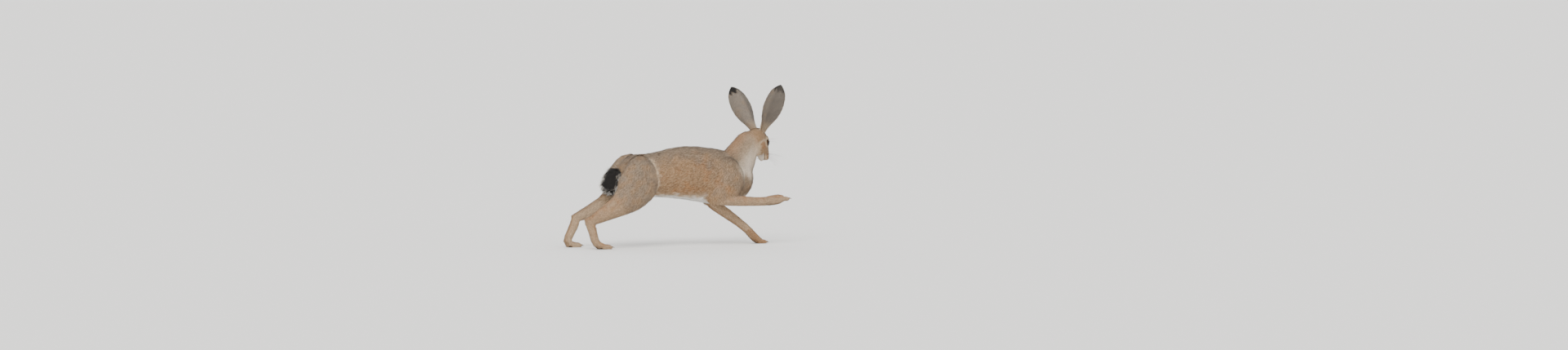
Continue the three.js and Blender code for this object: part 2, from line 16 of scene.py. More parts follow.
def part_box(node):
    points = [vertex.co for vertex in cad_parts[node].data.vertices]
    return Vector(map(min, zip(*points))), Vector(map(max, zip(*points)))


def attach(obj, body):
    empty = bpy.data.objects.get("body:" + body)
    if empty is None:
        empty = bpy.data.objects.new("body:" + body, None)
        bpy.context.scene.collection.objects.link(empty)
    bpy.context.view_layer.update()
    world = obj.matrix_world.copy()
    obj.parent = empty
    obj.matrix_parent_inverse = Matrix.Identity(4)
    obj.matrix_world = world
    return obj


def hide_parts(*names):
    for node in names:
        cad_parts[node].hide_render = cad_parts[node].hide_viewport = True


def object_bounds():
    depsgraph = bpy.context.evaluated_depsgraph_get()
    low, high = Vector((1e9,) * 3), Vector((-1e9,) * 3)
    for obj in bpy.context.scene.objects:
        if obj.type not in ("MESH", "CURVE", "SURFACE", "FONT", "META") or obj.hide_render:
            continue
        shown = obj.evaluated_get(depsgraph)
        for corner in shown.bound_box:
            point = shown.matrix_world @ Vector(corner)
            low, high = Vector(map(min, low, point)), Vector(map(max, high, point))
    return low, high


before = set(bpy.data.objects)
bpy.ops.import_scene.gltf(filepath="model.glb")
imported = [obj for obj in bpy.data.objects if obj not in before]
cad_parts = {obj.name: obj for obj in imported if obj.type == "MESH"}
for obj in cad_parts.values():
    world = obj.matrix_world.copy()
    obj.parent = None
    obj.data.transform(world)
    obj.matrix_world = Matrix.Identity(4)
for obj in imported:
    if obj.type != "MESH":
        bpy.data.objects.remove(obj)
cad_box = [list(corner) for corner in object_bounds()]
MM = 0.001
print("solid model's box, metres:", cad_box)

# %% [markdown]
# The picture was drawn from the hare's right, a little from behind, with no sense of perspective. A
# long lens a good way off gives the same flat look. The camera aims beside the hare, so that the
# hare stands left of the middle, as it does in the picture.

# %% Camera
VIEW_AZIMUTH = math.radians(-22.0)  # 0 looks along +Y
VIEW_ELEVATION = math.radians(3.0)
PICTURE_WIDTH, PIXEL = 1920, 0.002376  # the picture's pixels, and the metres that one covers
FRAME_WIDTH = PICTURE_WIDTH * PIXEL
HARE_RIGHT_OF_MIDDLE, HARE_ABOVE_MIDDLE = -0.309, 0.027  # metres
LENS, SENSOR = 100.0, 36.0
FAR_CLIP, FLOOR_RADIUS = 400.0, 300.0  # metres


def view_axes(azimuth, elevation):
    """The camera's right, up and back directions."""
    right = Vector((math.cos(azimuth), math.sin(azimuth), 0.0))
    back = Vector((math.sin(azimuth) * math.cos(elevation),
                   -math.cos(azimuth) * math.cos(elevation), math.sin(elevation)))
    return right, back.cross(right), back


def add_camera():
    right, up, back = view_axes(VIEW_AZIMUTH, VIEW_ELEVATION)
    low, high = (Vector(corner) for corner in cad_box)
    aim = (low + high) / 2 - right * HARE_RIGHT_OF_MIDDLE - up * HARE_ABOVE_MIDDLE
    place = aim + back * (FRAME_WIDTH * LENS / SENSOR)
    data = bpy.data.cameras.new("camera")
    data.lens, data.sensor_width, data.clip_end = LENS, SENSOR, FAR_CLIP
    camera = bpy.data.objects.new("camera", data)
    rows = [(right[i], up[i], back[i], place[i]) for i in range(3)]
    camera.matrix_world = Matrix(rows + [(0, 0, 0, 1)])
    bpy.context.collection.objects.link(camera)
    bpy.context.scene.camera = camera
    print("camera at", [round(v, 2) for v in place])


add_camera()

# %% [markdown]
# Studio light for fur is broad and soft, and an even pale floor needs light that doesn't fade with
# distance. Sun lamps with a wide angle do both. One high on the camera's side draws the form, a
# weaker one from the front opens the shade, and one from behind lights the rim of the coat. A small
# faint one is there for the bright points in the eyes.

# %% Lights and floor


def add_sun(name, direction, strength, angle, colour):
    data = bpy.data.lights.new(name, "SUN")
    data.energy, data.angle, data.color = strength, math.radians(angle), colour
    light = bpy.data.objects.new(name, data)
    light.rotation_euler = Vector(direction).to_track_quat("-Z", "Y").to_euler()
    bpy.context.collection.objects.link(light)


def plain_material(name, colour, roughness):
    material = bpy.data.materials.new(name)
    material.use_nodes = True
    shader = material.node_tree.nodes["Principled BSDF"]
    shader.inputs["Base Color"].default_value = (*colour, 1.0)
    shader.inputs["Roughness"].default_value = roughness
    return material


def add_floor():
    bpy.ops.mesh.primitive_circle_add(vertices=128, radius=FLOOR_RADIUS, fill_type="NGON")
    floor = bpy.context.object
    floor.name = "floor"
    floor.data.materials.append(plain_material("pale_floor", (0.86, 0.855, 0.845), 0.9))


add_floor()
add_sun("key", (0.55, 0.75, -1.15), 2.5, 45, (1.0, 0.975, 0.94))
add_sun("fill", (-0.9, 0.45, -0.6), 0.6, 80, (0.96, 0.98, 1.0))
add_sun("rim", (-0.2, -1.0, -0.8), 0.7, 60, (1.0, 0.99, 0.97))
add_sun("catch_light", (0.35, 0.8, -0.9), 0.3, 4, (1.0, 1.0, 1.0))
world = bpy.data.worlds.new("studio")
world.use_nodes = True
world.node_tree.nodes["Background"].inputs["Color"].default_value = (0.97, 0.97, 0.96, 1.0)
world.node_tree.nodes["Background"].inputs["Strength"].default_value = 1.0
bpy.context.scene.world = world

# %% [markdown]
# ## One skin
# The solid model is parted into named pieces, with hairline gaps between them. A real animal has
# one skin. So the pieces are copied, swollen by a hair's breadth until they touch, and rebuilt by a
# voxel remesh, which melts everything that touches into one closed surface. The eyeballs take part,
# so that their sockets are filled. The claws are drawn in first, because they are made later as
# pieces of horn.

# %% Copy the pieces and melt them together
SKIN_PARTS = [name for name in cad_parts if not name.startswith("eye") and name != "tail"]
EYE_PARTS = ["eye_left", "eye_right"]
FOOT_PARTS = [name for name in SKIN_PARTS if name.endswith(("_foot", "_paw"))]
SWELL = 0.4 * MM  # closes the gaps between the pieces
VOXEL = 1.1 * MM
CLAW_REACH = 9.3 * MM  # a claw's length past its toe, on the solids
SAME_PLACE = 1e-6  # corners this close are one


def mesh_object(name, mesh):
    thing = bpy.data.objects.new(name, mesh)
    bpy.context.collection.objects.link(thing)
    return thing


def swollen_copies(names, swell):
    """One mesh that holds copies of the named nodes, each grown along its normals."""
    together = bmesh.new()
    for name in names:
        part = bmesh.new()
        part.from_mesh(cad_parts[name].data)
        bmesh.ops.remove_doubles(part, verts=part.verts, dist=SAME_PLACE)
        part.normal_update()
        toe_end = max(corner.co.x for corner in part.verts) - CLAW_REACH
        for corner in part.verts:
            corner.co += corner.normal * swell
            if name in FOOT_PARTS:
                corner.co.x = min(corner.co.x, toe_end)
        copy = bpy.data.meshes.new("copy")
        part.to_mesh(copy)
        together.from_mesh(copy)
        part.free()
        bpy.data.meshes.remove(copy)
    mesh = bpy.data.meshes.new("copies")
    together.to_mesh(mesh)
    together.free()
    return mesh


def finished_mesh(thing):
    """The object's mesh with its modifiers worked out."""
    graph = bpy.context.evaluated_depsgraph_get()
    mesh = bpy.data.meshes.new_from_object(thing.evaluated_get(graph))
    bpy.data.objects.remove(thing)
    return mesh


def remeshed(mesh, voxel):
    thing = mesh_object("remesh", mesh)
    modifier = thing.modifiers.new("melt", "REMESH")
    modifier.mode, modifier.voxel_size = "VOXEL", voxel
    return finished_mesh(thing)


raw_skin = remeshed(swollen_copies(SKIN_PARTS + EYE_PARTS, SWELL), VOXEL)
print("melted skin:", len(raw_skin.vertices), "corners,", len(raw_skin.polygons), "faces")

# %% [markdown]
# To know which part of the hare each corner of the skin belongs to, we look up the nearest face of
# the solid model. The answers steer everything later: how smooth the skin is, how deep the coat
# lies on it, which way the hair points and what colour it has.

# %% Find the nearest part of the body
PART_INDEX = {name: i for i, name in enumerate(SKIN_PARTS)}


def mesh_numbers(items, field, width, kind=np.float32):
    """A field of all corners, edges or faces of a mesh, as an array of rows."""
    flat = np.empty(len(items) * width, kind)
    items.foreach_get(field, flat)
    return flat.reshape(-1, width) if width > 1 else flat


def mesh_points(mesh):
    return mesh_numbers(mesh.vertices, "co", 3).astype(float)


def mesh_normals(mesh):
    return mesh_numbers(mesh.vertex_normals, "vector", 3).astype(float)


def solid_lookup(names):
    """A search tree over the named nodes' faces, and which node each face is from."""
    corners, faces, owner = [], [], []
    for index, name in enumerate(names):
        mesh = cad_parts[name].data
        start = len(corners)
        corners.extend(v.co.copy() for v in mesh.vertices)
        for polygon in mesh.polygons:
            faces.append([start + i for i in polygon.vertices])
            owner.append(index)
    return BVHTree.FromPolygons(corners, faces), np.array(owner)


def nearest_parts(lookup, points):
    """For each point, the index of the nearest node."""
    tree, owner = lookup
    return owner[np.array([tree.find_nearest(Vector(row))[2] for row in points])]


class Neighbours:
    """Averages a value over each corner's neighbours, which is how a mesh is smoothed."""

    def __init__(self, mesh):
        self.count = len(mesh.vertices)
        self.a, self.b = mesh_numbers(mesh.edges, "vertices", 2, np.int32).T
        self.degree = np.maximum(np.bincount(np.concatenate([self.a, self.b]), minlength=self.count), 1)

    def average(self, values):
        total = np.bincount(self.a, values[self.b], self.count)
        return (total + np.bincount(self.b, values[self.a], self.count)) / self.degree

    def smooth(self, values, times, amount=0.5):
        columns = values.reshape(self.count, -1).T.astype(float)
        for k, column in enumerate(columns):
            for _ in range(times):
                column = column + amount * (self.average(column) - column)
            columns[k] = column
        return columns.T.reshape(values.shape)


body_lookup = solid_lookup(SKIN_PARTS)

# %% [markdown]
# The solids are faceted, and creases run where the thigh and shoulder meet the trunk. Smoothing
# draws that out. The trunk and the joints take most of it; the face, ears and toes take little, or
# they would melt away. A vertex group says how much each place takes, and a decimate modifier thins
# the mesh where the form is broad.

# %% Smooth the skin and lighten its mesh
SMOOTHING = {"torso": 0.6, "neck": 0.9, "thigh": 0.5, "upper": 0.5, "shank": 0.4, "forearm": 0.35,
             "head": 0.06, "ear": 0.12, "foot": 0.08, "paw": 0.08}
JOINT_SOFTNESS, JOINT_REACH, JOINT_ROUNDS = 0.75, 7.0, 60  # where two parts meet
SMOOTH_TIMES = 130
THINNED, THINNED_LEAST = 1.4, 0.03  # how much a place is thinned for its softness, and at least
SKIN_FACES = 195000


def amount_by_part(table):
    """One number for each part, from the first word of the table that its name holds."""
    found = [next(v for word, v in table.items() if word in name) for name in SKIN_PARTS]
    return np.array(found, float)


def weigh(thing, name, weights, steps=24):
    """A vertex group from an array, in a few steps so that it is quick to write."""
    group = thing.vertex_groups.new(name=name)
    level = np.round(np.clip(weights, 0, 1) * steps).astype(int)
    for k in range(1, steps + 1):
        group.add(np.flatnonzero(level == k).tolist(), k / steps, "REPLACE")


def smoothed_skin(mesh, amount, times, faces):
    thing = mesh_object("smoothing", mesh)
    weigh(thing, "soft", amount)
    modifier = thing.modifiers.new("soften", "SMOOTH")
    modifier.factor, modifier.iterations, modifier.vertex_group = 0.5, times, "soft"
    light = thing.modifiers.new("lighten", "DECIMATE")
    weigh(thing, "coarse", np.clip(amount * THINNED, THINNED_LEAST, 1.0))
    light.ratio = min(faces / (2 * len(mesh.polygons)), 1.0)
    light.vertex_group, light.vertex_group_factor = "coarse", 1.0
    return finished_mesh(thing)


def near_joints(around, part):
    """1 where one part of the body meets another, fading to 0 about a centimetre away."""
    crossing = part[around.a] != part[around.b]
    mark = np.zeros(around.count)
    mark[around.a[crossing]] = mark[around.b[crossing]] = 1.0
    return np.clip(around.smooth(mark, JOINT_ROUNDS) * JOINT_REACH, 0, 1)


raw_part = nearest_parts(body_lookup, mesh_points(raw_skin))
raw_around = Neighbours(raw_skin)
softness = raw_around.smooth(amount_by_part(SMOOTHING)[raw_part], 25)
on_ear = raw_around.smooth(amount_by_part({"ear_": 1.0, "": 0.0})[raw_part], 12)
softness = np.maximum(softness, JOINT_SOFTNESS * near_joints(raw_around, raw_part) * (1 - on_ear))
skin_mesh = smoothed_skin(raw_skin, softness, SMOOTH_TIMES, SKIN_FACES)
print("smoothed skin:", len(skin_mesh.vertices), "corners,", len(skin_mesh.polygons), "faces")

# %% [markdown]
# The face needs a frame of its own: which way is ahead, left and up for the head. The two eyeballs of
# the solid model give its middle and its left, and the head's pitch gives the rest.

# %% Measure the head


def unit(v):
    v = np.asarray(v, float)
    return v / np.maximum(np.linalg.norm(v, axis=-1, keepdims=True), 1e-12)


def box_middle(name):
    low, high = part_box(name)
    return np.array((low + high) / 2)


def solid_points(name):
    return mesh_points(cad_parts[name].data)


UP = np.array((0.0, 0.0, 1.0))
HEAD_PITCH = math.radians(52.0)  # nose down
eye_middle = (box_middle("eye_left") + box_middle("eye_right")) / 2
head_left = unit(box_middle("eye_left") - box_middle("eye_right"))
head_level = unit(np.cross(head_left, UP))  # straight ahead, level with the floor
head_ahead = head_level * math.cos(HEAD_PITCH) - UP * math.sin(HEAD_PITCH)
head_up = np.cross(head_ahead, head_left)


def head_frame(points):
    """Millimetres ahead of, left of and above the middle between the eyes."""
    away = (points - eye_middle) / MM
    return away @ head_ahead, away @ head_left, away @ head_up


def from_head(ahead, left, up):
    """The point that many millimetres ahead of, left of and above the middle between the eyes."""
    return eye_middle + (head_ahead * ahead + head_left * left + head_up * up) * MM


print("middle between the eyes:", eye_middle.round(4))

# %% [markdown]
# ## Where the coat lies
# The solids show the hare with its coat on. The skin lies below that, by the depth of the coat: a
# few millimetres on the back, and less than one on the nose and ears. The depth is smoothed over
# the skin so that no step shows. Where the haunch and the shoulder meet the trunk, the skin sinks a
# little further, which draws the groove that the muscles leave there. It sinks round the eyes too, and
# leaves room for the lids.

# %% Sink the skin by the depth of the coat
COAT_DEPTH = {"torso": 5.4, "neck": 5.0, "thigh": 4.6, "upper": 4.4, "shank": 2.4, "forearm": 2.0,
              "head": 1.8, "ear": 0.35, "foot": 1.3, "paw": 1.2}  # millimetres
HAUNCH_GROOVE = 1.8 * MM
HAUNCH_FRONT = (-0.120, -0.090)  # metres along the body, where the groove fades in
SHOULDER_GROOVE = 1.2 * MM
EYE_HOLLOW = 2.0 * MM
HOLLOW_EDGE, HOLLOW_FLOOR = 16, 9  # mm from the middle of the eye
FAR_OFF = 99.0  # mm, further than any mark on the face reaches


def share(weights, *words):
    """How far each place belongs to the parts whose names hold one of the words."""
    return sum(weights[:, i] for name, i in PART_INDEX.items() if any(w in name for w in words))


def step(value, low, high):
    """0 below low, 1 above high and smooth between."""
    t = np.clip((value - low) / (high - low), 0, 1)
    return t * t * (3 - 2 * t)


def surface_tree(mesh):
    shell = bmesh.new()
    shell.from_mesh(mesh)
    tree = BVHTree.FromBMesh(shell)
    shell.free()
    return tree


def depth_under(tree, points):
    """How far each point lies under the tree's surface, in metres."""
    depth = np.empty(len(points))
    for i, row in enumerate(points):
        point = Vector(row)
        place, normal, _, distance = tree.find_nearest(point)
        depth[i] = -distance if (point - place).dot(normal) > 0 else distance
    return depth


def set_points(mesh, points):
    mesh.vertices.foreach_set("co", points.astype(np.float32).ravel())
    mesh.update()


def sunk_points(mesh, around, wanted, rounds=3):
    """The mesh's corners, moved along their normals to the wanted depth under the solids."""
    points = mesh_points(mesh)
    surface = surface_tree(raw_skin)
    for _ in range(rounds):
        depth = depth_under(surface, points) - SWELL
        push = around.smooth(wanted - depth, 24)
        points = points - mesh_normals(mesh) * push[:, None]
        set_points(mesh, points)
    return points


around = Neighbours(skin_mesh)
skin_part = nearest_parts(body_lookup, mesh_points(skin_mesh))
part_share = np.zeros((len(skin_part), len(SKIN_PARTS)))
part_share[np.arange(len(skin_part)), skin_part] = 1.0
part_share = around.smooth(part_share, 12)
coat_depth = around.smooth(amount_by_part(COAT_DEPTH)[skin_part] * MM, 30)
trunk_share = share(part_share, "torso", "neck")
haunch_edge = 4 * trunk_share * share(part_share, "thigh")
haunch_edge *= step(mesh_points(skin_mesh)[:, 0], *HAUNCH_FRONT)
shoulder_edge = 4 * trunk_share * share(part_share, "upper")
groove = HAUNCH_GROOVE * haunch_edge + SHOULDER_GROOVE * shoulder_edge
ahead, left, up = head_frame(mesh_points(skin_mesh))
eye_distance = np.hypot(ahead, up) + FAR_OFF * (np.abs(left) < 10)
hollow = EYE_HOLLOW * share(part_share, "head") * step(eye_distance, HOLLOW_EDGE, HOLLOW_FLOOR)
skin_points = sunk_points(skin_mesh, around, coat_depth + groove + hollow)
skin_normals = mesh_normals(skin_mesh)
print("coat depth, mm:", round(coat_depth.min() / MM, 2), "to", round(coat_depth.max() / MM, 2))

# %% [markdown]
# Hair has a lie: it points from nose to tail along the body, down the legs, and from the root to
# the tip of each ear. Each part gets one main direction, worked out from where the parts are. These
# are blended over the skin and pressed flat into it, a little at a time, so that no place is left
# without a direction.

# %% Work out the lie of the coat


def ear_ends(name):
    """The root and the tip of an ear, as points on its middle line."""
    points = solid_points(name)
    order = np.argsort(points[:, 2])
    few = max(len(points) // 25, 3)
    return points[order[:few]].mean(0), points[order[-few:]].mean(0)


def leg_way(name):
    limb, side, piece = name.split("_")
    pieces = ("thigh", "shank", "foot") if limb == "hindleg" else ("upper", "forearm", "paw")
    first, second, third = (box_middle(f"{limb}_{side}_{p}") for p in pieces)
    if limb == "hindleg":
        return {"thigh": (-0.75, 0, -0.8), "shank": second - first, "foot": (0.3, 0, -1.0)}[piece]
    return (-0.45, 0, -1.0) if piece == "upper" else third - second


def main_direction(name):
    """The lie of the hair on a part, before it is pressed into the skin."""
    if "leg" in name:
        return leg_way(name)
    if "ear_" in name:
        root, tip = ear_ends(name)
        return tip - root
    special = {"neck": (-0.8, -0.1, -0.6), "head": -head_ahead - 0.15 * head_up}
    return special.get(name, (-1.0, 0, -0.38))


TOE_HEIGHT = 0.022  # below this the hair lies along the toes
LIE_ROUNDS, LIE_SMOOTHING = 6, 9


def pressed_flat(lie, normals):
    """The directions laid into the surface, each of length 1."""
    return unit(lie - normals * (lie * normals).sum(1, keepdims=True))


def lie_on_skin():
    lie = np.array([unit(main_direction(name)) for name in SKIN_PARTS])[skin_part]
    lie[skin_points[:, 2] < TOE_HEIGHT] = unit((1.0, 0.0, -0.15))
    for _ in range(LIE_ROUNDS):
        lie = pressed_flat(around.smooth(lie, LIE_SMOOTHING), skin_normals)
    return lie


skin_lie = lie_on_skin()
print("lie of the coat worked out at", len(skin_lie), "places")

# %% [markdown]
# ## Colours
# A hare's coat is brindled: each hair is grey at its root, then sandy, and many end in black. Over
# that lie broad fields of colour. Here they are one function of place: sandy sides with russet
# patches, a greyer back, an orange nape, a white belly with a ragged edge, a cream eye ring and
# grey ears with black tips. The skin and the coat both ask this function, so their markings agree.

# %% Colours of the coat
SANDY = (0.350, 0.215, 0.115)
GREY_BROWN = (0.245, 0.182, 0.128)
RUSSET = (0.365, 0.175, 0.070)
NAPE_ORANGE = (0.430, 0.205, 0.085)
HAUNCH_GREY = (0.275, 0.212, 0.155)
BUFF = (0.440, 0.305, 0.190)
CREAM = (0.650, 0.500, 0.340)
WHITE = (0.800, 0.775, 0.730)
UMBER = (0.090, 0.055, 0.032)
SHADED_SLATE = (0.125, 0.108, 0.094)
EAR_BACK = (0.215, 0.182, 0.150)
BLACK = (0.016, 0.014, 0.013)


WAVES = 7  # in a ripple


def ripple(points, size, seed):
    """A soft, patchy value, mostly between -1 and 1, whose patches are about size metres across."""
    draw = np.random.RandomState(seed)
    total = np.zeros(len(points))
    for _ in range(WAVES):
        direction = unit(draw.normal(size=3)) * (2 * math.pi / size) * draw.uniform(0.55, 1.5)
        total += np.sin(points @ direction + draw.uniform(0, 2 * math.pi))
    return total / 3.0


def mix(colour, other, amount):
    return colour + (np.asarray(other) - colour) * amount[:, None]


def paint(colour, *layers):
    """Lays colours over one another, each by its own amount at every place."""
    for other, amount in layers:
        colour = mix(colour, other, amount)
    return colour


def all_over(colour, count):
    return np.tile(np.array(colour), (count, 1))


def blend(colour, other, weight):
    return colour * (1 - weight[:, None]) + other * weight[:, None]


def trunk_colour(points, normals, weights):
    """Back, sides, belly, nape, throat and chest."""
    x, z = points[:, 0], points[:, 2]
    broad, rough = ripple(points, 0.075, 7), ripple(points, 0.035, 1)
    fine = ripple(points, 0.009, 2)
    neck = share(weights, "neck")
    backward = 0.4 * normals[:, 2] - normals[:, 0]
    sideways = np.abs(normals[:, 1]) - 0.5 * normals[:, 2]
    colour = paint(
        all_over(SANDY, len(points)),
        (RUSSET, step(rough + 0.7 * broad + 0.3 * fine, -0.1, 1.0) * 0.62),
        (GREY_BROWN, step(normals[:, 2] + 0.25 * rough, 0.15, 0.8) * 0.9),
        (GREY_BROWN, step(x + 0.03 * rough, 0.05, 0.13) * step(rough, 0.9, -0.6) * 0.75),
        (NAPE_ORANGE, neck * step(backward, 0.1, 0.75) * 0.95),
        (HAUNCH_GREY, neck * step(sideways, 0.3, 0.9) * 0.7))
    # the throat and breast are pale where they face forwards
    ahead = normals[:, 0] - 0.25 * normals[:, 2] + 0.15 * rough
    wedge = step(z, 0.175, 0.235) * step(z, 0.285, 0.255)
    front = step(ahead + 0.45 * wedge, 0.45, 0.8)
    breast = front * step(z + 0.008 * rough, 0.172, 0.222) * step(x, 0.15, 0.2)
    # the belly is white below a ragged line
    under = step(-normals[:, 2], -0.05, 0.35)
    line = 0.150 + 0.005 * fine + 0.004 * rough
    trunk = step(share(weights, "torso"), 0.3, 0.8)
    lowest = step(-normals[:, 2] + 0.12 * fine, 0.72, 0.92)
    white = np.maximum(step(line - z, -0.003, 0.004) * under, lowest)
    return paint(
        colour,
        (CREAM, breast * 0.9),
        (WHITE, breast * 0.4),
        (CREAM, step(line + 0.014 - z, 0, 0.012) * under * trunk * 0.6),
        (WHITE, white * trunk))


def leg_colour(points, normals, weights, colour):
    """Greyer haunches with a painted highlight line in front, buff legs with russet fronts, brown
    soles.
    """
    rough = ripple(points, 0.028, 3)
    inner = -normals[:, 1] * np.sign(points[:, 1] + 0.008)
    thigh = share(weights, "thigh")
    edge = step(points[:, 0] + 0.01 * rough, -0.112, -0.082) * step(points[:, 2], 0.12, 0.2)
    # painted highlight: a pale line along the haunch's front edge, beside its groove
    line = step(thigh * (1 - thigh) * 4, 0.6, 1.0) * edge  # the pale line in front of it
    lower = share(weights, "shank", "forearm", "paw", "foot")
    far_foreleg_in_shade = share(weights, "foreleg_left_forearm", "foreleg_left_paw")
    sole = share(weights, "foot", "paw") * step(-normals[:, 2], 0.45, 0.85)
    return paint(
        colour,
        (HAUNCH_GREY, thigh * 0.8),
        (SANDY, thigh * step(rough + 0.5, 0.1, 1.3) * 0.6),
        (BUFF, thigh * edge * 0.7),
        # painted highlight along the haunch's front edge
        (CREAM, line * 0.9),
        (BUFF, lower * 0.75),
        (RUSSET, lower * step(normals[:, 2] + 0.35 * rough, -0.1, 0.9) * 0.6),
        # painted shade: the far legs, on the hare's left, are painted browner and darker than the near
        # ones
        (SANDY, share(weights, "left_shank", "left_foot") * 0.8),
        (GREY_BROWN, share(weights, "left_shank") * 0.4),
        (RUSSET, far_foreleg_in_shade * 0.55),
        (UMBER, far_foreleg_in_shade * 0.16),
        (CREAM, (lower + 0.8 * thigh) * step(inner, 0.4, 0.95) * 0.45),
        (UMBER, sole * 0.8))


# %% [markdown]
# The face is painted in the head's own millimetres, counted from the middle between the eyes. That
# way the marks sit right however the head is turned. The line of the lips is worked out here too,
# because the coat has to leave it bare.

# %% Colours of the face and ears
MOUTH_BACK, MOUTH_SLOPE, MOUTH_LEVEL = 21.0, -0.1, -21.3  # where the lips part, from the eyes
NOSE_WIDE, NOSE_TALL, NOSE_UP = 6.0, 4.4, -9.2  # half sizes and height from the eyes, mm
MUZZLE_FRONT = 38  # the nose and its cleft lie further ahead than this


def lip_gap(ahead, up):
    """Millimetres from the line of the lips, which runs round the muzzle."""
    away = np.abs(up - (MOUTH_LEVEL + MOUTH_SLOPE * ahead))
    return np.where(ahead > MOUTH_BACK, away, FAR_OFF)


def nose_reach(ahead, left, up):
    """0 at the middle of the bare nose, 1 at its edge."""
    reach = np.hypot(left / NOSE_WIDE, (up - NOSE_UP) / NOSE_TALL)
    return reach + FAR_OFF * (ahead < MUZZLE_FRONT)


def cleft_gap(ahead, left, up):
    """Millimetres from the cleft that runs down from the nose to the lips."""
    between = (up < NOSE_UP) & (up > MOUTH_LEVEL - 4)
    return np.where((ahead > MUZZLE_FRONT) & between, np.abs(left), FAR_OFF)


def head_colour(points, weights, colour):
    """Brown-grey crown, cream round the eye and along the jaw, a russet cheek, a dark nose bridge."""
    ahead, left, up = head_frame(points)
    aside = np.abs(left)
    rough = ripple(points, 0.012, 4)
    cheek = np.hypot(ahead + 6, (up + 21) * 1.05) + 2.5 * rough
    ring = np.hypot((ahead + 1) / 1.25, up - 1)
    lip = MOUTH_LEVEL + MOUTH_SLOPE * ahead
    gap = np.minimum(lip_gap(ahead, up), cleft_gap(ahead, left, up))
    face = paint(
        all_over(SANDY, len(points)),
        (GREY_BROWN, step(up, 6, 20) * 0.75),
        (CREAM, step(cheek, 23, 15) * step(ahead, 8, -12) * step(aside, 10, 18) * 0.8),
        (RUSSET, step(cheek, 15, 9) * 0.85),
        (UMBER, step(aside, 10, 3) * step(ahead, 4, 36) * 0.55),
        (CREAM, step(ring + rough, 14.5, 10) * step(aside, 12, 16) * 0.75),
        (CREAM, step(up + 2 * rough, -30, -38) * 0.9),
        (RUSSET, step(ahead, 24, 40) * step(aside, 5, 11) * 0.5),
        (CREAM, step(ahead, 24, 34) * step(up - lip, 8, 3) * 0.75),
        (WHITE, step(ahead, 16, 26) * step(up - lip + rough, 0, -4) * 0.45),
        # painted shade: a dark line along the parting of the lips and the cleft below the nose
        (UMBER, step(gap, 1.6, 0.6) * 0.9))
    return blend(colour, face, share(weights, "head"))


def ear_opening(name):
    """The way an ear's cup opens: from the middle of its back wall towards its two rims."""
    points = solid_points(name)
    root, tip = ear_ends(name)
    axis = unit(tip - root)
    middle = points.mean(0)
    ring = points[np.abs((points - middle) @ axis) < 0.012] - middle
    ring -= np.outer(ring @ axis, axis)
    _, _, ways = np.linalg.svd(ring - ring.mean(0), full_matrices=False)
    wide = np.abs((ring - ring.mean(0)) @ ways[0])
    order = np.argsort(wide)
    return unit(ring[order[-6:]].mean(0) - ring[order[:6]].mean(0))


EAR_SHAPES = {name: (*ear_ends(name), ear_opening(name)) for name in ("ear_left", "ear_right")}


def ear_colour(points, normals, weights, colour):
    """Grey outside, slate inside (the grey darkened as painted shade in the hollow), pale rims, a black
    tip.
    """
    for name, (root, tip, opening) in EAR_SHAPES.items():
        axis = tip - root
        up = ((points - root) @ axis) / (axis @ axis)
        inside = step(normals @ opening, -0.1, 0.3)
        patch = ripple(points, 0.03, 5)
        reach = up + 0.03 * ripple(points, 0.014, 6)
        ear = paint(
            all_over(EAR_BACK, len(points)),
            (BUFF, step(up, 0.3, 0.0) * 0.7),
            (GREY_BROWN, step(patch, -0.2, 1.0) * (1 - inside) * 0.6),
            # painted shade: the inside of the cup is painted slate, darker than the back
            (SHADED_SLATE, inside * (0.85 + 0.1 * patch)),
            (CREAM, inside * step(up, 0.28, 0.05) * 0.5),
            (BLACK, step(reach, 0.84, 0.91) * (1 - 0.35 * inside)))
        colour = blend(colour, ear, weights[:, PART_INDEX[name]])
    return colour


def coat_colour(points, normals, weights):
    colour = trunk_colour(points, normals, weights)
    colour = leg_colour(points, normals, weights, colour)
    colour = head_colour(points, weights, colour)
    return ear_colour(points, normals, weights, colour).clip(0, 1)


skin_colour = coat_colour(skin_points, skin_normals, part_share)
print("mean coat colour:", skin_colour.mean(0).round(3))

# %% [markdown]
# ## Finishes
# The coat's material takes its colour from the mesh, where the function above wrote it, and adds a
# fine noise for the brindle. Fur is dull, with a little sheen at grazing angles. Every number that
# holds all over is set on the shader itself. Nose, claws and whiskers use the same recipe later with
# other numbers.

# %% Coat and skin materials
COLOUR_NAME = "coat_colour"


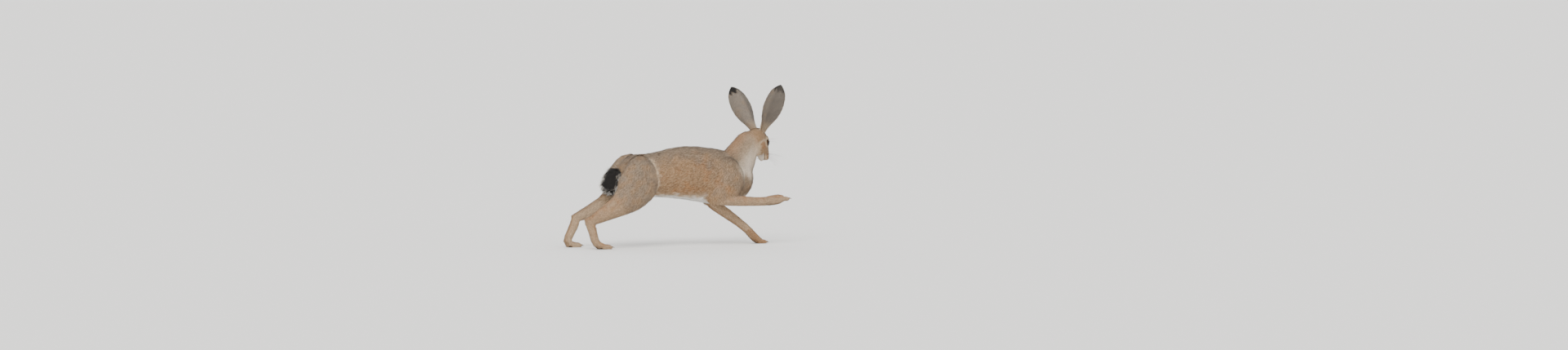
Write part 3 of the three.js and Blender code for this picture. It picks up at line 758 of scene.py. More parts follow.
def fur_material(name, streak_size, streak_depth, bump, roughness=0.8, shine=0.2, sheen=0.12):
    material = bpy.data.materials.new(name)
    material.use_nodes = True
    nodes, links = material.node_tree.nodes, material.node_tree.links
    shader = nodes["Principled BSDF"]
    paint = nodes.new("ShaderNodeAttribute")
    paint.attribute_name = COLOUR_NAME
    place = nodes.new("ShaderNodeTexCoord")
    noise = nodes.new("ShaderNodeTexNoise")
    noise.inputs["Scale"].default_value = 1.0 / streak_size
    noise.inputs["Detail"].default_value = 3.0
    ramp = nodes.new("ShaderNodeMapRange")
    ramp.inputs["To Min"].default_value = 1.0 - streak_depth
    ramp.inputs["To Max"].default_value = 1.0 + streak_depth
    tint = nodes.new("ShaderNodeVectorMath")
    tint.operation = "SCALE"
    links.new(place.outputs["Object"], noise.inputs["Vector"])
    links.new(noise.outputs["Fac"], ramp.inputs["Value"])
    links.new(paint.outputs["Color"], tint.inputs[0])
    links.new(ramp.outputs["Result"], tint.inputs["Scale"])
    links.new(tint.outputs["Vector"], shader.inputs["Base Color"])
    if bump:
        relief = nodes.new("ShaderNodeBump")
        relief.inputs["Strength"].default_value = bump
        relief.inputs["Distance"].default_value = 0.8 * MM
        links.new(noise.outputs["Fac"], relief.inputs["Height"])
        links.new(relief.outputs["Normal"], shader.inputs["Normal"])
    shader.inputs["Roughness"].default_value = roughness
    shader.inputs["Specular IOR Level"].default_value = shine
    shader.inputs["Sheen Weight"].default_value = sheen
    shader.inputs["Sheen Roughness"].default_value = 0.5
    return material


skin_fur = fur_material("short_fur_skin", 0.0022, 0.35, 0.6)
coat_fur = fur_material("coat", 0.004, 0.25, 0.0)
print("made materials:", skin_fur.name, coat_fur.name)

# %% [markdown]
# The skin is laid flat once, as a tailor would lay out a hide. Each tuft later takes its place on
# this same map, so that a picture baked from the coat keeps its colours in place. Everything that a
# coat needs to know about the skin it grows on is kept together in one hide.

# %% Lay out the skin
BAKE_MAP = "OFBake"
SKIN_SHADE = 0.8  # the skin is darker than the coat that shades it


def write_colours(mesh, colours):
    layer = mesh.color_attributes.new(COLOUR_NAME, "FLOAT_COLOR", "POINT")
    rgba = np.ones((len(mesh.vertices), 4), np.float32)
    rgba[:, :3] = colours
    layer.data.foreach_set("color", rgba.ravel())


def lay_out(thing):
    """Unwraps the skin, and returns the map's place at every corner of every face."""
    thing.data.uv_layers.new(name=BAKE_MAP)
    bpy.ops.object.select_all(action="DESELECT")
    thing.select_set(True)
    bpy.context.view_layer.objects.active = thing
    bpy.ops.object.mode_set(mode="EDIT")
    bpy.ops.mesh.select_all(action="SELECT")
    bpy.ops.uv.smart_project(angle_limit=math.radians(66), island_margin=0.002)
    bpy.ops.object.mode_set(mode="OBJECT")
    return mesh_numbers(thing.data.uv_layers[BAKE_MAP].data, "uv", 2)


class Hide:
    """A finished skin: its object, and what the tufts that grow on it need to know."""

    def __init__(self, name, mesh, colours, replaced, **fields):
        self.thing = mesh_object(name, mesh)
        mesh.polygons.foreach_set("use_smooth", np.ones(len(mesh.polygons), bool))
        write_colours(mesh, colours * SKIN_SHADE)
        mesh.materials.append(skin_fur)
        self.map = lay_out(self.thing)
        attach(self.thing, "root")
        if replaced:
            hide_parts(*replaced)
        mesh.calc_loop_triangles()
        self.corners = mesh_numbers(mesh.loop_triangles, "vertices", 3, np.int32)
        self.loops = mesh_numbers(mesh.loop_triangles, "loops", 3, np.int32)
        self.fields = fields
        points = fields["place"][self.corners]
        across = np.cross(points[:, 1] - points[:, 0], points[:, 2] - points[:, 0])
        self.areas = np.linalg.norm(across, axis=1) / 2
        print(name, "laid out:", len(self.corners), "triangles,", round(self.areas.sum() * 1e4), "cm2")

    def spread_roots(self, density, draw):
        """Roots spread over the skin: density is how many for each square metre of each triangle."""
        wanted = np.cumsum(self.areas * density)
        count = int(wanted[-1])
        places = (np.arange(count) + draw.uniform(size=count)) * wanted[-1] / count
        face = np.searchsorted(wanted, places).clip(0, len(wanted) - 1)
        a, b = draw.uniform(size=(2, count))
        fold = a + b > 1
        a[fold], b[fold] = 1 - a[fold], 1 - b[fold]
        weights = np.stack([1 - a - b, a, b], 1)[:, :, None]
        roots = {}
        for name, values in self.fields.items():
            columns = values.reshape(len(values), -1)
            roots[name] = (columns[self.corners[face]] * weights).sum(1)
        roots["map"] = (self.map[self.loops[face]] * weights).sum(1)
        for name in ("normal", "lie"):
            roots[name] = unit(roots[name])
        return roots


# %% [markdown]
# The hair differs over the body: long on the trunk and haunches, shorter down the legs, and tiny on
# the face, feet and ears. Length, width and number are given for each part and then blended over the
# skin, so that no ring shows where one part ends. Near the nose and round the eye the hair is
# shorter still, the lips and the eye are bare, and an ear's rims carry a fine pale fringe that lies
# close.

# %% Length, width and number of the tufts
# for each part: length in mm, width in mm, tufts per square centimetre
COAT_KINDS = {"torso": (14.5, 1.35, 116), "neck": (13.0, 1.25, 130), "thigh": (12.5, 1.30, 116),
              "upper": (11.5, 1.25, 122), "shank": (8.0, 1.10, 132), "forearm": (6.8, 1.00, 140),
              "head": (4.7, 0.60, 325), "ear": (3.4, 0.58, 150), "foot": (5.6, 0.85, 150),
              "paw": (5.2, 0.85, 150)}
EYE_BARE = 9.4  # mm from the middle of the eye
KIND_ROUNDS = 45  # of smoothing, so that one kind of hair runs into the next
PER_CM2 = 1e4  # square centimetres in a square metre


def kinds_on_skin():
    kinds = []
    for column in range(3):
        table = {word: row[column] for word, row in COAT_KINDS.items()}
        kinds.append(around.smooth(amount_by_part(table)[skin_part], KIND_ROUNDS))
    length, width, number = kinds
    ahead, left, up = head_frame(skin_points)
    head = share(part_share, "head")
    nose = step(ahead, 0, 46) * head
    length = length * (1 - 0.5 * nose)
    width = width * (1 - 0.3 * nose)
    number = number * (1 + 0.5 * nose)
    eye = np.hypot((ahead - 1.2) / 1.15, up) + FAR_OFF * (np.abs(left) < 12)
    length = length * (1 - 0.4 * head * step(eye, 19, 12))
    number = number * (1 - head * step(eye, EYE_BARE + 1, EYE_BARE))
    gap = np.minimum(lip_gap(ahead, up), cleft_gap(ahead, left, up) + 0.2)
    number = number * (1 - head * step(gap, 1.2, 0.6))
    number = number * (1 - head * step(nose_reach(ahead, left, up), 1.0, 0.85))
    ear = share(part_share, "ear_")
    rim = step(1 - np.linalg.norm(around.smooth(skin_normals, 5), axis=1), 0.12, 0.4) * ear
    length = length * (1 + 0.3 * rim)
    width = width * (1 - 0.35 * rim)
    number = number * (1 + 0.6 * rim)
    return length * MM, width * MM, number * PER_CM2, rim


tuft_length, tuft_width, tuft_number, ear_rim = kinds_on_skin()
below_black_tip = step(skin_points[:, 2], 0.445, 0.415)
skin_colour = mix(skin_colour, CREAM, ear_rim * below_black_tip * 0.6)
body = Hide("skin", skin_mesh, skin_colour, SKIN_PARTS, place=skin_points, normal=skin_normals,
            lie=skin_lie, parts=part_share, length=tuft_length, width=tuft_width, colour=skin_colour,
            rise=1 - 0.6 * ear_rim)

# %% [markdown]
# ## The coat
# Each tuft is a thin tapered blade: two corners at its root, two at each bend and one at its tip. It
# rises from the skin and bends back along the lie. Many thousands are made at once as arrays, which
# is far quicker than one object each. A blade borrows part of its shading from the skin below it,
# so that the coat looks soft and not like scales.

# %% Grow tufts
PATCH = 0.003  # the side of a tuft's own patch of the map
ROOT_SUNK = 0.5 * MM
SOFT_SHADE = 0.6  # how much of the skin's normal a tuft borrows
FLOOR_GAP = 0.2 * MM
SWAY, SWAY_IN_PATCHES, SWAY_PATCH = 0.15, 0.2, 0.022  # how far tufts stray from the lie
RISE_AT_ROOT, RISE_AT_TIP = 1.3, 0.1  # a tuft is steep first, then bends down


def varied(amount, count, draw):
    """A factor near 1 for each tuft."""
    return 1 + amount * draw.normal(size=count).clip(-2, 2)


def tuft_points(roots, rise, draw, bends):
    """Corners of every tuft, as an array of tufts by corners by three."""
    count = len(roots["place"])
    sway = draw.normal(scale=SWAY, size=count)
    sway += SWAY_IN_PATCHES * ripple(roots["place"], SWAY_PATCH, 11)
    side = np.cross(roots["normal"], roots["lie"])
    lie = unit(roots["lie"] * np.cos(sway)[:, None] + side * np.sin(sway)[:, None])
    side = np.cross(roots["normal"], lie)
    rows = [roots["place"] - roots["normal"] * ROOT_SUNK]
    for share_of_rise in np.linspace(RISE_AT_ROOT, RISE_AT_TIP, bends + 1):
        turn = (rise * share_of_rise)[:, None]
        way = lie * np.cos(turn) + roots["normal"] * np.sin(turn)
        rows.append(rows[-1] + way * (roots["length"] / (bends + 1))[:, None])
    corners = []
    for k, row in enumerate(rows[:-1]):
        taper = 0.84 if k == 0 else 1 - 0.4 * (k - 1) / bends
        half = side * (roots["width"] * 0.5 * taper)[:, None]
        corners += [row - half, row + half]
    return np.stack(corners + [rows[-1]], 1)


def tuft_faces(count, bends):
    """Quads up each blade and a triangle at its tip, for many blades at once."""
    strip, sizes = [], []
    for k in range(bends):
        strip += [2 * k + 1, 2 * k, 2 * k + 2, 2 * k + 3]
        sizes.append(4)
    strip += [2 * bends + 1, 2 * bends, 2 * bends + 2]
    sizes.append(3)
    corners = (np.arange(count)[:, None] * (2 * bends + 3) + np.array(strip)).ravel()
    return corners.astype(np.int32), np.tile(np.array(sizes, np.int32), count)


def tuft_map(roots, bends):
    """Each tuft's corners in its own small patch of the map, at its root."""
    up = np.repeat(np.linspace(0, 1, bends + 2)[:-1], 2).tolist() + [1.0]
    across = [0.0, 1.0] * (bends + 1) + [0.5]
    patch = (np.stack([across, up], 1) - 0.5) * PATCH
    return roots["map"][:, None, :] + patch[None]


def arrays_to_mesh(name, points, corners, sizes):
    mesh = bpy.data.meshes.new(name)
    mesh.vertices.add(len(points))
    mesh.vertices.foreach_set("co", points.astype(np.float32).ravel())
    mesh.loops.add(len(corners))
    mesh.loops.foreach_set("vertex_index", corners)
    mesh.polygons.add(len(sizes))
    starts = np.concatenate([[0], np.cumsum(sizes)[:-1]])
    mesh.polygons.foreach_set("loop_start", starts.astype(np.int32))
    mesh.polygons.foreach_set("use_smooth", np.ones(len(sizes), bool))
    mesh.update(calc_edges=True)
    return mesh


def soften_shade(mesh, skin_side):
    """Blends each corner's normal with the skin's, so that light falls on the coat as on the body."""
    own = mesh_normals(mesh)
    own *= np.sign((own * skin_side).sum(1, keepdims=True) + 1e-9)
    blended = unit(own * (1 - SOFT_SHADE) + skin_side * SOFT_SHADE)
    mesh.normals_split_custom_set_from_vertices(blended.astype(np.float32))


# %% [markdown]
# A tuft's colour changes along it: dark and grey at the root, the coat's own colour in the middle,
# and at the tip either black or pale, so that the coat looks ticked. White and black hair has none
# of this.

# %% Colour the tufts
BLACK_TIPS, PALE_TIPS = 0.34, 0.42  # the share of the tufts with each
TIP_BLACK = (0.030, 0.024, 0.020)
TIP_PALE = (0.600, 0.455, 0.290)


def tuft_colours(roots, bends, draw):
    """Colours of the root, bends and tip of every tuft."""
    base = roots["colour"]
    count = len(base)
    light = base.mean(1)
    brindle = step(light, 0.55, 0.34) * step(light, 0.04, 0.11)
    base = base * varied(0.09 + 0.09 * brindle, count, draw)[:, None]
    black_tip = (draw.uniform(size=count) < BLACK_TIPS) * brindle
    pale_tip = (draw.uniform(size=count) < PALE_TIPS) * brindle * (1 - black_tip)
    tip = paint(base, (TIP_BLACK, black_tip * 0.75), (TIP_PALE, pale_tip * 0.55))
    root = base * (0.94 - 0.34 * brindle)[:, None]
    rows = []
    for level in np.linspace(0, 1, bends + 2):
        low_half = root + (base - root) * min(level * 2, 1)
        row = low_half + (tip - low_half) * max(level * 2 - 1, 0)
        rows += [row, row] if level < 1 else [row]
    return np.stack(rows, 1).clip(0, 1)


def add_coat(name, roots, rise, draw, bends=1):
    """One coat piece: tufts on the given roots, coloured, mapped and riding on the body."""
    count = len(roots["place"])
    points = tuft_points(roots, rise, draw, bends)
    points[..., 2] = np.maximum(points[..., 2], FLOOR_GAP)  # hair under the soles lies flat
    corners, sizes = tuft_faces(count, bends)
    mesh = arrays_to_mesh(name, points.reshape(-1, 3), corners, sizes)
    write_colours(mesh, tuft_colours(roots, bends, draw).reshape(-1, 3))
    layer = mesh.uv_layers.new(name=BAKE_MAP)
    spots = tuft_map(roots, bends).reshape(-1, 2)
    layer.data.foreach_set("uv", spots[corners].astype(np.float32).ravel())
    soften_shade(mesh, np.repeat(roots["normal"], 2 * bends + 3, axis=0))
    mesh.materials.append(coat_fur)
    coat = mesh_object(name, mesh)
    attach(coat, "root")
    print(f"{name}: {count} tufts, {count * (2 * bends + 1)} triangles")
    return coat


# %% [markdown]
# The coat is grown region by region, so that no mesh gets too heavy. A face of the skin belongs to
# the region that has the largest share of it. The loin is split down its middle as well.

# %% Grow the coat, region by region
# region: the parts it covers, and how steeply its hair rises, in degrees
COAT_REGIONS = {
    "coat_rump": (("torso_rump",), 22),
    "coat_loin_left": (("torso_loin",), 22),
    "coat_loin_right": (("torso_loin",), 22),
    "coat_chest": (("torso_chest",), 23),
    "coat_shoulders": (("upper",), 22),
    "coat_neck": (("neck",), 24),
    "coat_haunch_left": (("hindleg_left_thigh",), 22),
    "coat_haunch_right": (("hindleg_right_thigh",), 22),
    "coat_shanks": (("shank",), 19),
    "coat_forearms": (("forearm",), 18),
    "coat_feet": (("foot", "paw"), 17),
    "coat_head": (("head",), 18),
    "coat_ears": (("ear_",), 14),
}
face_part = part_share[body.corners].mean(1).argmax(1)
face_left = skin_points[body.corners].mean(1)[:, 1] > 0
face_number = tuft_number[body.corners].mean(1)


def region_faces(name, words):
    inside = np.array([any(word in part for word in words) for part in SKIN_PARTS])[face_part]
    if name.endswith(("loin_left", "loin_right")):
        inside = inside & (face_left == name.endswith("left"))
    return inside


def grown_roots(hide, density, draw):
    roots = hide.spread_roots(density * (1.0), draw)
    count = len(roots["place"])
    for name, amount in (("length", 0.17), ("width", 0.2)):
        roots[name] = roots[name][:, 0] * varied(amount, count, draw)
    return roots


def varied_rise(degrees, count, draw):
    return np.radians(degrees) * varied(0.25, count, draw)


for seed, (name, (words, degrees)) in enumerate(COAT_REGIONS.items()):
    draw = np.random.RandomState(100 + seed)
    roots = grown_roots(body, face_number * region_faces(name, words), draw)
    rise = varied_rise(degrees, len(roots["place"]), draw) * roots["rise"][:, 0]
    add_coat(name, roots, rise, draw)

# %% [markdown]
# ## Tail
# A hare's tail is a flat brush, black on its outer face, white at its edges and underneath. It has a
# skin of its own, a flattened egg sized from the solid tail, and long tufts with more bends that
# sweep from its root to its tip and fan out to both sides.

# %% Tail brush
TAIL_CORE = (0.54, 0.84, 0.50)  # of the solid tail's half length, width and thickness
TAIL_RISE_TO_ROOT = 0.16  # the core sits nearer the root, as a share of the length
TAIL_TUFTS = (26.0, 1.5, 200)  # length and width in mm, tufts per square centimetre
TAIL_FAN = 1.3  # how far its hair turns out to the sides


def tail_axes():
    """The solid tail's points, middle, and its root-to-tip, sideways and outward directions."""
    points = solid_points("tail")
    middle = points.mean(0)
    _, _, ways = np.linalg.svd(points - middle, full_matrices=False)
    axis = ways[0] * (-1 if ways[0][2] > 0 else 1)  # the tip is low
    out = ways[2] * (1 if ways[2][0] < 0 else -1)  # away from the rump
    return points, middle, axis, np.cross(out, axis), out


def tail_colour(away, side, out, half_wide):
    """Black on the outer face, white towards both edges and below."""
    ragged = 0.10 * ripple(away, 0.008, 21)
    black = step(np.abs(away @ side / half_wide - 0.05) + ragged, 0.72, 0.56)
    black = black * step((away @ out) / half_wide + ragged, -0.12, 0.03)
    return mix(all_over(WHITE, len(away)), BLACK, black)


def tail_core_mesh(middle, axes, sizes):
    ball = bmesh.new()
    bmesh.ops.create_icosphere(ball, subdivisions=5, radius=1.0)
    mesh = bpy.data.meshes.new("tail_core")
    ball.to_mesh(mesh)
    ball.free()
    set_points(mesh, middle + (mesh_points(mesh) * sizes) @ np.array(axes))
    return mesh


def make_tail():
    points, middle, axis, side, out = tail_axes()
    reach = [np.percentile(np.abs((points - middle) @ way), 98) for way in (axis, side, out)]
    middle = middle - axis * reach[0] * TAIL_RISE_TO_ROOT
    mesh = tail_core_mesh(middle, (axis, side, out), np.array(reach) * TAIL_CORE)
    place, normal = mesh_points(mesh), mesh_normals(mesh)
    away = place - middle
    lie = pressed_flat(axis + TAIL_FAN * np.outer(away @ side / reach[1], side), normal)
    colour = tail_colour(away, side, out, reach[1] * TAIL_CORE[1])
    length, width, number = TAIL_TUFTS
    hide = Hide("tail_skin", mesh, colour, ["tail"], place=place, normal=normal, lie=lie, colour=colour,
                length=np.full(len(place), length * MM), width=np.full(len(place), width * MM))
    draw = np.random.RandomState(77)
    roots = grown_roots(hide, np.full(len(hide.areas), number * PER_CM2), draw)
    add_coat("coat_tail", roots, varied_rise(26, len(roots["place"]), draw), draw, bends=2)
    print("tail's half sizes, mm:", np.round(np.array(reach) / MM, 1))


make_tail()

# %% [markdown]
# ## Eyes
# The eyeball is a smooth ball with a slightly domed cornea. Its colours are rings round the line of
# sight: a black pupil, an amber iris that darkens outwards, and a dark rim. Each corner of the mesh
# stores how far off that line it lies, and a colour ramp turns that into the rings.

# %% Eyeballs
EYE_RADIUS = max(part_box("eye_left")[1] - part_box("eye_left")[0]) / 2
GAZE_NAME = "off_gaze"
EYE_RINGS = (
    (0.0, (0.001, 0.001, 0.001)), (0.50, (0.001, 0.001, 0.001)),  # pupil
    (0.55, (0.040, 0.018, 0.006)), (0.70, (0.085, 0.036, 0.010)),  # iris
    (0.81, (0.030, 0.013, 0.005)), (0.88, (0.004, 0.003, 0.002)))  # its dark rim
FLECK_SCALE, FLECK_DEPTH = 900.0, 0.06
CORNEA_DOME = 0.04  # of the eye's radius


def eye_material():
    material = plain_material("wet_eye", (0.05, 0.03, 0.015), 0.06)
    nodes, links = material.node_tree.nodes, material.node_tree.links
    shader = nodes["Principled BSDF"]
    off = nodes.new("ShaderNodeAttribute")
    off.attribute_name = GAZE_NAME
    flecks = nodes.new("ShaderNodeTexNoise")
    flecks.inputs["Scale"].default_value = FLECK_SCALE
    uneven = nodes.new("ShaderNodeMath")
    uneven.operation = "MULTIPLY_ADD"
    uneven.inputs[1].default_value = FLECK_DEPTH
    rings = nodes.new("ShaderNodeValToRGB")
    while len(rings.color_ramp.elements) < len(EYE_RINGS):
        rings.color_ramp.elements.new(0.5)
    for element, (position, colour) in zip(rings.color_ramp.elements, EYE_RINGS):
        element.position, element.color = position, (*colour, 1)
    place = nodes.new("ShaderNodeTexCoord")
    links.new(place.outputs["Object"], flecks.inputs["Vector"])
    links.new(flecks.outputs["Fac"], uneven.inputs[0])
    links.new(off.outputs["Fac"], uneven.inputs[2])
    links.new(uneven.outputs["Value"], rings.inputs["Fac"])
    links.new(rings.outputs["Color"], shader.inputs["Base Color"])
    shader.inputs["Specular IOR Level"].default_value = 0.06
    shader.inputs["Coat Weight"].default_value = 0.22
    shader.inputs["Coat Roughness"].default_value = 0.03
    return material


def side_of(name):
    return 1 if "left" in name else -1


def add_eyeball(name, material):
    centre = box_middle(name)
    gaze = unit(head_left * side_of(name) + 0.10 * head_ahead + 0.06 * head_up)
    mesh = bpy.data.meshes.new(name)
    ball = bmesh.new()
    bmesh.ops.create_uvsphere(ball, u_segments=56, v_segments=40, radius=1.0)
    turn = Vector(gaze).to_track_quat("Z", "Y").to_matrix().to_4x4()
    bmesh.ops.transform(ball, matrix=turn, verts=ball.verts)
    ball.to_mesh(mesh)
    ball.free()
    way = mesh_points(mesh)
    facing = way @ gaze
    off = np.sqrt(np.clip(1 - facing ** 2, 0, 1)) + (facing < 0)
    dome = 1 + CORNEA_DOME * step(facing, 0.6, 1.0)
    set_points(mesh, centre + way * (EYE_RADIUS * dome)[:, None])
    rings = mesh.attributes.new(GAZE_NAME, "FLOAT", "POINT")
    rings.data.foreach_set("value", off.astype(np.float32))
    mesh.polygons.foreach_set("use_smooth", np.ones(len(mesh.polygons), bool))
    mesh.materials.append(material)
    eye = mesh_object(name + "_ball", mesh)
    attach(eye, "root")
    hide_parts(name)


wet_eye = eye_material()
for eye_name in ("eye_left", "eye_right"):
    add_eyeball(eye_name, wet_eye)
print("eyeball radius, mm:", round(EYE_RADIUS / MM, 2))

# %% [markdown]
# Lids frame the eye. Each pair is a ring of mesh: its inner edge is an almond that hugs the ball, it
# swells to the thickness of a lid, and its outer edge dives under the skin of the face. To find the
# skin, rays are shot at it from outside. The rim is dark and bare, and the rest has very short hair
# that points away from the eye.

# %% Lids
LID_LENGTH, LID_HEIGHT = 8.3, 6.6  # half sizes of the opening, mm
LID_TILT = math.radians(14)  # the front corner is lower
LID_ROUND = 64
# the rows of the ring, grown from the opening by these shares of its size
LID_GROWN = (-0.07, 0.0, 0.05, 0.10, 0.16, 0.24, 0.34, 0.46, 0.60, 0.72)
LID_RIM = 0.14  # the bare dark edge ends here
LID_SWELL = 0.9  # mm
LID_OFF_BALL, LID_UNDER_BALL = 0.25, 0.9  # mm between the ball and the rim, and its hidden edge
LID_ROOF, LID_DIVE = 0.4, 1.4  # mm above the skin of the face, and how deep the last row dives
LID_HAIR = (1.7, 2.3, 0.46)  # mm, its least length, how much it gains outwards, and its width
LID_NUMBER = 460  # tufts per square centimetre


def skin_tree():
    corners = [Vector(p) for p in skin_points]
    return BVHTree.FromPolygons(corners, body.corners.tolist())


face_tree = skin_tree()


def height_on_skin(origin, out, reach=0.04):
    """How far out along a direction from the origin the skin's surface lies."""
    place, _, _, distance = face_tree.ray_cast(Vector(origin + out * reach), Vector(-out), reach * 2)
    return reach - distance if place is not None else None


def lid_outline(grown):
    """The opening's outline, ahead of and above the eye's middle in mm, grown by a share."""
    turn = np.linspace(0, 2 * math.pi, LID_ROUND, endpoint=False)
    u = LID_LENGTH * np.cos(turn) * (1 + grown)
    v = LID_HEIGHT * np.sin(turn) * (1 + 0.1 * np.sin(turn)) * (1 + grown * 1.1)
    ahead = u * math.cos(LID_TILT) + v * math.sin(LID_TILT)
    return ahead, v * math.cos(LID_TILT) - u * math.sin(LID_TILT)


def skin_heights(centre, out, outline):
    """The skin's height over the eye's middle all along an outline, evened out round it."""
    heights = []
    for a, b in zip(*outline):
        found = height_on_skin(centre + (head_ahead * a + head_up * b) * MM, out)
        heights.append(0.0 if found is None else found / MM)
    heights = np.array(heights)
    for _ in range(4):
        heights = (np.roll(heights, 1) + 2 * heights + np.roll(heights, -1)) / 4
    return heights


def lid_points(centre, out):
    """Rows from under the ball's edge, over the rim, down into the skin of the face."""
    radius = EYE_RADIUS / MM
    on_ball = np.sqrt((radius + LID_OFF_BALL) ** 2 - sum(np.square(lid_outline(0.0))))
    at_end = skin_heights(centre, out, lid_outline(LID_GROWN[-1])) - 1.0
    rows = []
    for grown in LID_GROWN:
        t = max(grown, 0) / LID_GROWN[-1]
        outline = lid_outline(grown)
        height = on_ball + (at_end - on_ball) * (t * t * (3 - 2 * t))
        height = height + LID_SWELL * math.sin(math.pi * t ** 0.6)
        if grown < 0:
            height = np.sqrt(radius ** 2 - sum(np.square(outline))) - LID_UNDER_BALL
        if grown > 0.3:
            lowest = skin_heights(centre, out, outline) + LID_ROOF - LID_DIVE * step(t, 0.7, 1.0)
            height = np.maximum(height, lowest)
        spots = np.outer(outline[0], head_ahead) + np.outer(outline[1], head_up) + np.outer(height, out)
        rows.append(centre + spots * MM)
    return np.array(rows)


def ring_faces(rows, round_count, tubes=1):
    """Quads between neighbouring rings of corners, for one tube or many with the same rings."""
    r, k = np.meshgrid(np.arange(rows - 1), np.arange(round_count), indexing="ij")
    following = (k + 1) % round_count
    quads = np.stack([r * round_count + k, r * round_count + following,
                      (r + 1) * round_count + following, (r + 1) * round_count + k], -1)
    first = np.arange(tubes)[:, None, None] * rows * round_count
    return (quads.reshape(-1, 4) + first).reshape(-1, 4)


def quads_to_mesh(name, points, quads):
    corners = quads.ravel().astype(np.int32)
    return arrays_to_mesh(name, points, corners, np.full(len(quads), 4))


def add_lids(name, seed):
    side = side_of(name)
    centre, out = box_middle(name.replace("lids", "eye")), head_left * side
    points = lid_points(centre, out)
    quads = ring_faces(len(LID_GROWN), LID_ROUND)
    if side > 0:
        quads = quads[:, ::-1]
    place = points.reshape(-1, 3)
    mesh = quads_to_mesh(name, place, quads)
    normal = mesh_normals(mesh)
    grown = np.repeat(LID_GROWN, LID_ROUND)
    on_head = np.zeros((len(place), len(SKIN_PARTS)))
    on_head[:, PART_INDEX["head"]] = 1.0
    colour = paint(
        coat_colour(place, normal, on_head),
        (UMBER, step(grown, LID_RIM + 0.1, LID_RIM - 0.02)),
        (BLACK, step(grown, LID_RIM, 0.0) * 0.8))
    outward = unit(place - centre - np.outer((place - centre) @ out, out))
    far = (grown / LID_GROWN[-1]).clip(0, 1)[:, None]
    lie = pressed_flat(unit((1 - 0.5 * far) * outward - (0.2 + 0.8 * far) * head_ahead), normal)
    least, gain, width = LID_HAIR
    hide = Hide(name, mesh, colour, [], place=place, normal=normal, lie=lie, colour=colour,
                length=(least + gain * far[:, 0]) * MM, width=np.full(len(place), width * MM))
    hairy = (grown[hide.corners].mean(1) > LID_RIM) * (LID_NUMBER * PER_CM2)
    draw = np.random.RandomState(seed)
    roots = grown_roots(hide, hairy, draw)
    add_coat("coat_" + name, roots, varied_rise(14, len(roots["place"]), draw), draw)


add_lids("lids_left", 301)
add_lids("lids_right", 302)

# %% [markdown]
# ## Nose
# The bare nose is a small soft pad that wraps the tip of the muzzle. It is draped over the skin like
# the lids, a little proud of it, and two comma-shaped nostrils are pressed into it.

# %% Nose pad and nostrils
NOSTRIL_INNER, NOSTRIL_OUTER, NOSTRIL_RADIUS = (2.1, -1.7), (4.5, 0.8), 1.15
# painted shade: the nostrils are coloured near black for the dark inside their openings
NOSE_SKIN, NOSTRIL_SHADE = (0.085, 0.050, 0.036), (0.008, 0.005, 0.004)
NOSE_LIFT, NOSE_EDGE_DROP, NOSTRIL_DEPTH = 1.5, 2.2, 1.15  # mm
NOSE_RINGS, NOSE_ROUND = 16, 56


def nostril_depth(u, v):
    """1 inside a nostril, 0 outside."""
    start, end = np.array(NOSTRIL_INNER), np.array(NOSTRIL_OUTER)
    point = np.array((abs(u), v))
    along = np.clip((point - start) @ (end - start) / ((end - start) @ (end - start)), 0, 1)
    bow = 0.6 * math.sin(math.pi * along)  # the slit bends like a comma
    away = np.linalg.norm(point - start - (end - start) * along + np.array((0, -bow)))
    return float(step(away, NOSTRIL_RADIUS, NOSTRIL_RADIUS * 0.35))


def add_nose():
    points, colours = [], []
    for r in range(NOSE_RINGS + 1):
        for k in range(NOSE_ROUND):
            reach, turn = r / NOSE_RINGS, 2 * math.pi * k / NOSE_ROUND
            u, v = NOSE_WIDE * reach * math.cos(turn), NOSE_TALL * reach * math.sin(turn)
            u *= 1 - 0.22 * max(-math.sin(turn), 0) * reach  # narrower below
            origin = from_head(45, u, NOSE_UP + v)
            height = height_on_skin(origin, head_ahead)
            slit = nostril_depth(u, v)
            lift = NOSE_LIFT - NOSE_EDGE_DROP * reach ** 4 - NOSTRIL_DEPTH * slit
            points.append(origin + head_ahead * ((height or 0) + lift * MM))
            # painted shade inside the nostrils
            colours.append(np.array(NOSE_SKIN) * (1 - slit) + np.array(NOSTRIL_SHADE) * slit)
    quads = ring_faces(NOSE_RINGS + 1, NOSE_ROUND)
    mesh = quads_to_mesh("nose", np.array(points), quads)
    write_colours(mesh, np.array(colours))
    mesh.materials.append(fur_material("nose_leather", 0.0009, 0.2, 0.8, 0.42, 0.5, 0.0))
    nose = mesh_object("nose_pad", mesh)
    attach(nose, "root")
    print("nose pad:", len(quads), "faces")


add_nose()

# %% [markdown]
# ## Claws
# Each toe ends in a slim curved claw, half hidden in the hair. The solid feet show where: their four
# foremost points are the claws' tips. A claw is a stack of shrinking ovals along a bent line.

# %% Claws
CLAW_LENGTH, CLAW_HIGH, CLAW_WIDE = 12.5, 1.5, 1.15  # mm, half sizes at the root
CLAW_ARCH = 1.5
CLAW_ROUND, CLAW_RINGS = 8, 8
CLAW_SPREAD, CLAW_DROP = 7, -0.13  # outer claws turn out, and all point a little down
CLAW_ROOT, CLAW_TIP = (0.055, 0.040, 0.030), (0.16, 0.12, 0.09)  # colours


def claw_tips(foot):
    """The four foremost points of a solid foot, in order across it."""
    points = solid_points(foot)
    front = points[points[:, 0] > points[:, 0].max() - 3 * MM]
    front = front[np.argsort(front[:, 1])]
    gaps = np.flatnonzero(np.diff(front[:, 1]) > 3 * MM) + 1
    return [group.mean(0) for group in np.split(front, gaps)]


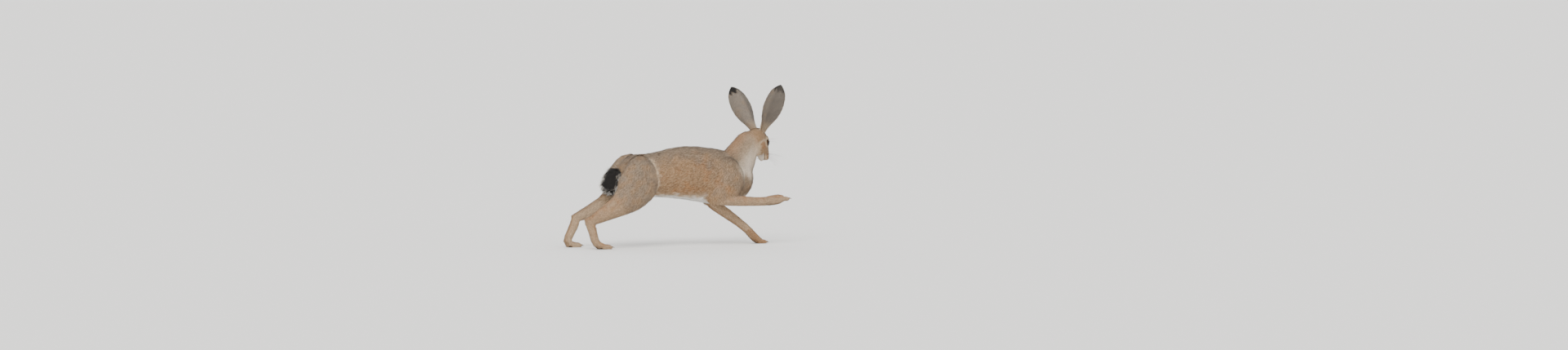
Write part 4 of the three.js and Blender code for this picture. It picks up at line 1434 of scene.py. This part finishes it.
def claw_points(tip, way):
    side = unit(np.cross(UP, way))
    over = np.cross(way, side)
    rows = []
    for r in range(CLAW_RINGS + 1):
        t = r / CLAW_RINGS
        arch = CLAW_ARCH * math.sin(math.pi * t ** 0.8)
        centre = tip - way * CLAW_LENGTH * (1 - t) * MM + over * arch * MM
        size = (1 - t ** 1.7) + 0.12
        for k in range(CLAW_ROUND):
            turn = 2 * math.pi * k / CLAW_ROUND
            flat = side * CLAW_WIDE * math.cos(turn) + over * CLAW_HIGH * math.sin(turn)
            rows.append(centre + flat * size * MM)
    return np.array(rows)


def add_claws(foot, material):
    tips = claw_tips(foot)
    middle = np.mean([tip[1] for tip in tips])
    ways = [unit((1, (tip[1] - middle) * CLAW_SPREAD, CLAW_DROP)) for tip in tips]
    points = np.concatenate([claw_points(tip, way) for tip, way in zip(tips, ways)])
    points[:, 2] = np.maximum(points[:, 2], FLOOR_GAP)
    quads = ring_faces(CLAW_RINGS + 1, CLAW_ROUND, len(tips))[:, ::-1]
    mesh = quads_to_mesh(foot, points, quads)
    along = np.tile(np.repeat(np.linspace(0, 1, CLAW_RINGS + 1), CLAW_ROUND), len(tips))
    write_colours(mesh, mix(all_over(CLAW_ROOT, len(along)), CLAW_TIP, along))
    mesh.materials.append(material)
    claws = mesh_object("claws_" + foot, mesh)
    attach(claws, "root")
    return len(tips)


horn = fur_material("horn", 0.0015, 0.35, 0.15, 0.38, 0.5, 0.0)
print("claws:", [add_claws(foot, horn) for foot in FOOT_PARTS])

# %% [markdown]
# ## Whiskers
# Whiskers are stiff tapered hairs, far longer than the coat: rows of them on the muzzle's pads and a
# few over each eye. Each is a thin three-sided tube along a curve that sags under its own weight.

# %% Whiskers
WHISKER_RADIUS = 0.26  # mm, at the root
WHISKER_STEPS = 8
# ahead of and above the eyes in mm, for the rows of the pad and the brow
PAD_ROWS, PAD_COLUMNS = (-10.5, -13.5, -16.5, -19.5), (30, 34.5, 39, 43.5)
BROW_PLACES = ((-3, 12.5), (2, 13.5), (7, 12.0))
WHISKER_BEND, WHISKER_SAG, WHISKER_TAPER = 0.12, 0.16, 0.85
DARK_WHISKER, PALE_WHISKER = (0.035, 0.025, 0.020), (0.62, 0.56, 0.48)
DARK_SHARE = 0.7


def whisker_points(root, way, length, draw):
    bend = unit(np.cross(way, draw.normal(size=3))) * WHISKER_BEND
    side = unit(np.cross(way, UP))
    over = np.cross(side, way)
    rows = []
    for r in range(WHISKER_STEPS + 1):
        t = r / WHISKER_STEPS
        centre = root + (way * t + bend * t * t - UP * WHISKER_SAG * t * t) * length * MM
        radius = WHISKER_RADIUS * (1 - WHISKER_TAPER * t) * MM
        for k in range(3):
            turn = 2 * math.pi * k / 3
            rows.append(centre + (side * math.cos(turn) + over * math.sin(turn)) * radius)
    return np.array(rows)


def add_whiskers():
    draw = np.random.RandomState(9)
    hairs, colours = [], []
    for side in (1, -1):
        out = head_left * side
        spots = [(ahead, up, 0) for up in PAD_ROWS for ahead in PAD_COLUMNS]
        spots += [(ahead, up, 1) for ahead, up in BROW_PLACES]
        for ahead, up, brow in spots:
            origin = from_head(ahead + draw.uniform(-1, 1), 0, up + draw.uniform(-0.6, 0.6))
            root = origin + out * (height_on_skin(origin, out) - 0.8 * MM)
            forward = (ahead - 34) * 0.05 if not brow else 0.25
            lift = (up + 15) * 0.05 if not brow else 1.0
            way = unit(out + head_ahead * (forward + draw.uniform(-0.1, 0.2)) + head_up * (lift - 0.1))
            length = draw.uniform(24, 32) if brow else 64 - (ahead - 30) * 1.7 + draw.uniform(-6, 6)
            hairs.append(whisker_points(root, way, length, draw))
            tone = DARK_WHISKER if draw.uniform() < DARK_SHARE else PALE_WHISKER
            colours.append(all_over(tone, len(hairs[-1])))
    quads = ring_faces(WHISKER_STEPS + 1, 3, len(hairs))
    mesh = quads_to_mesh("whiskers", np.concatenate(hairs), quads)
    write_colours(mesh, np.concatenate(colours))
    mesh.materials.append(fur_material("whisker", 0.01, 0.2, 0.0, 0.4, 0.2, 0.0))
    whiskers = mesh_object("whiskers", mesh)
    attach(whiskers, "root")
    print("whiskers:", len(hairs))


add_whiskers()
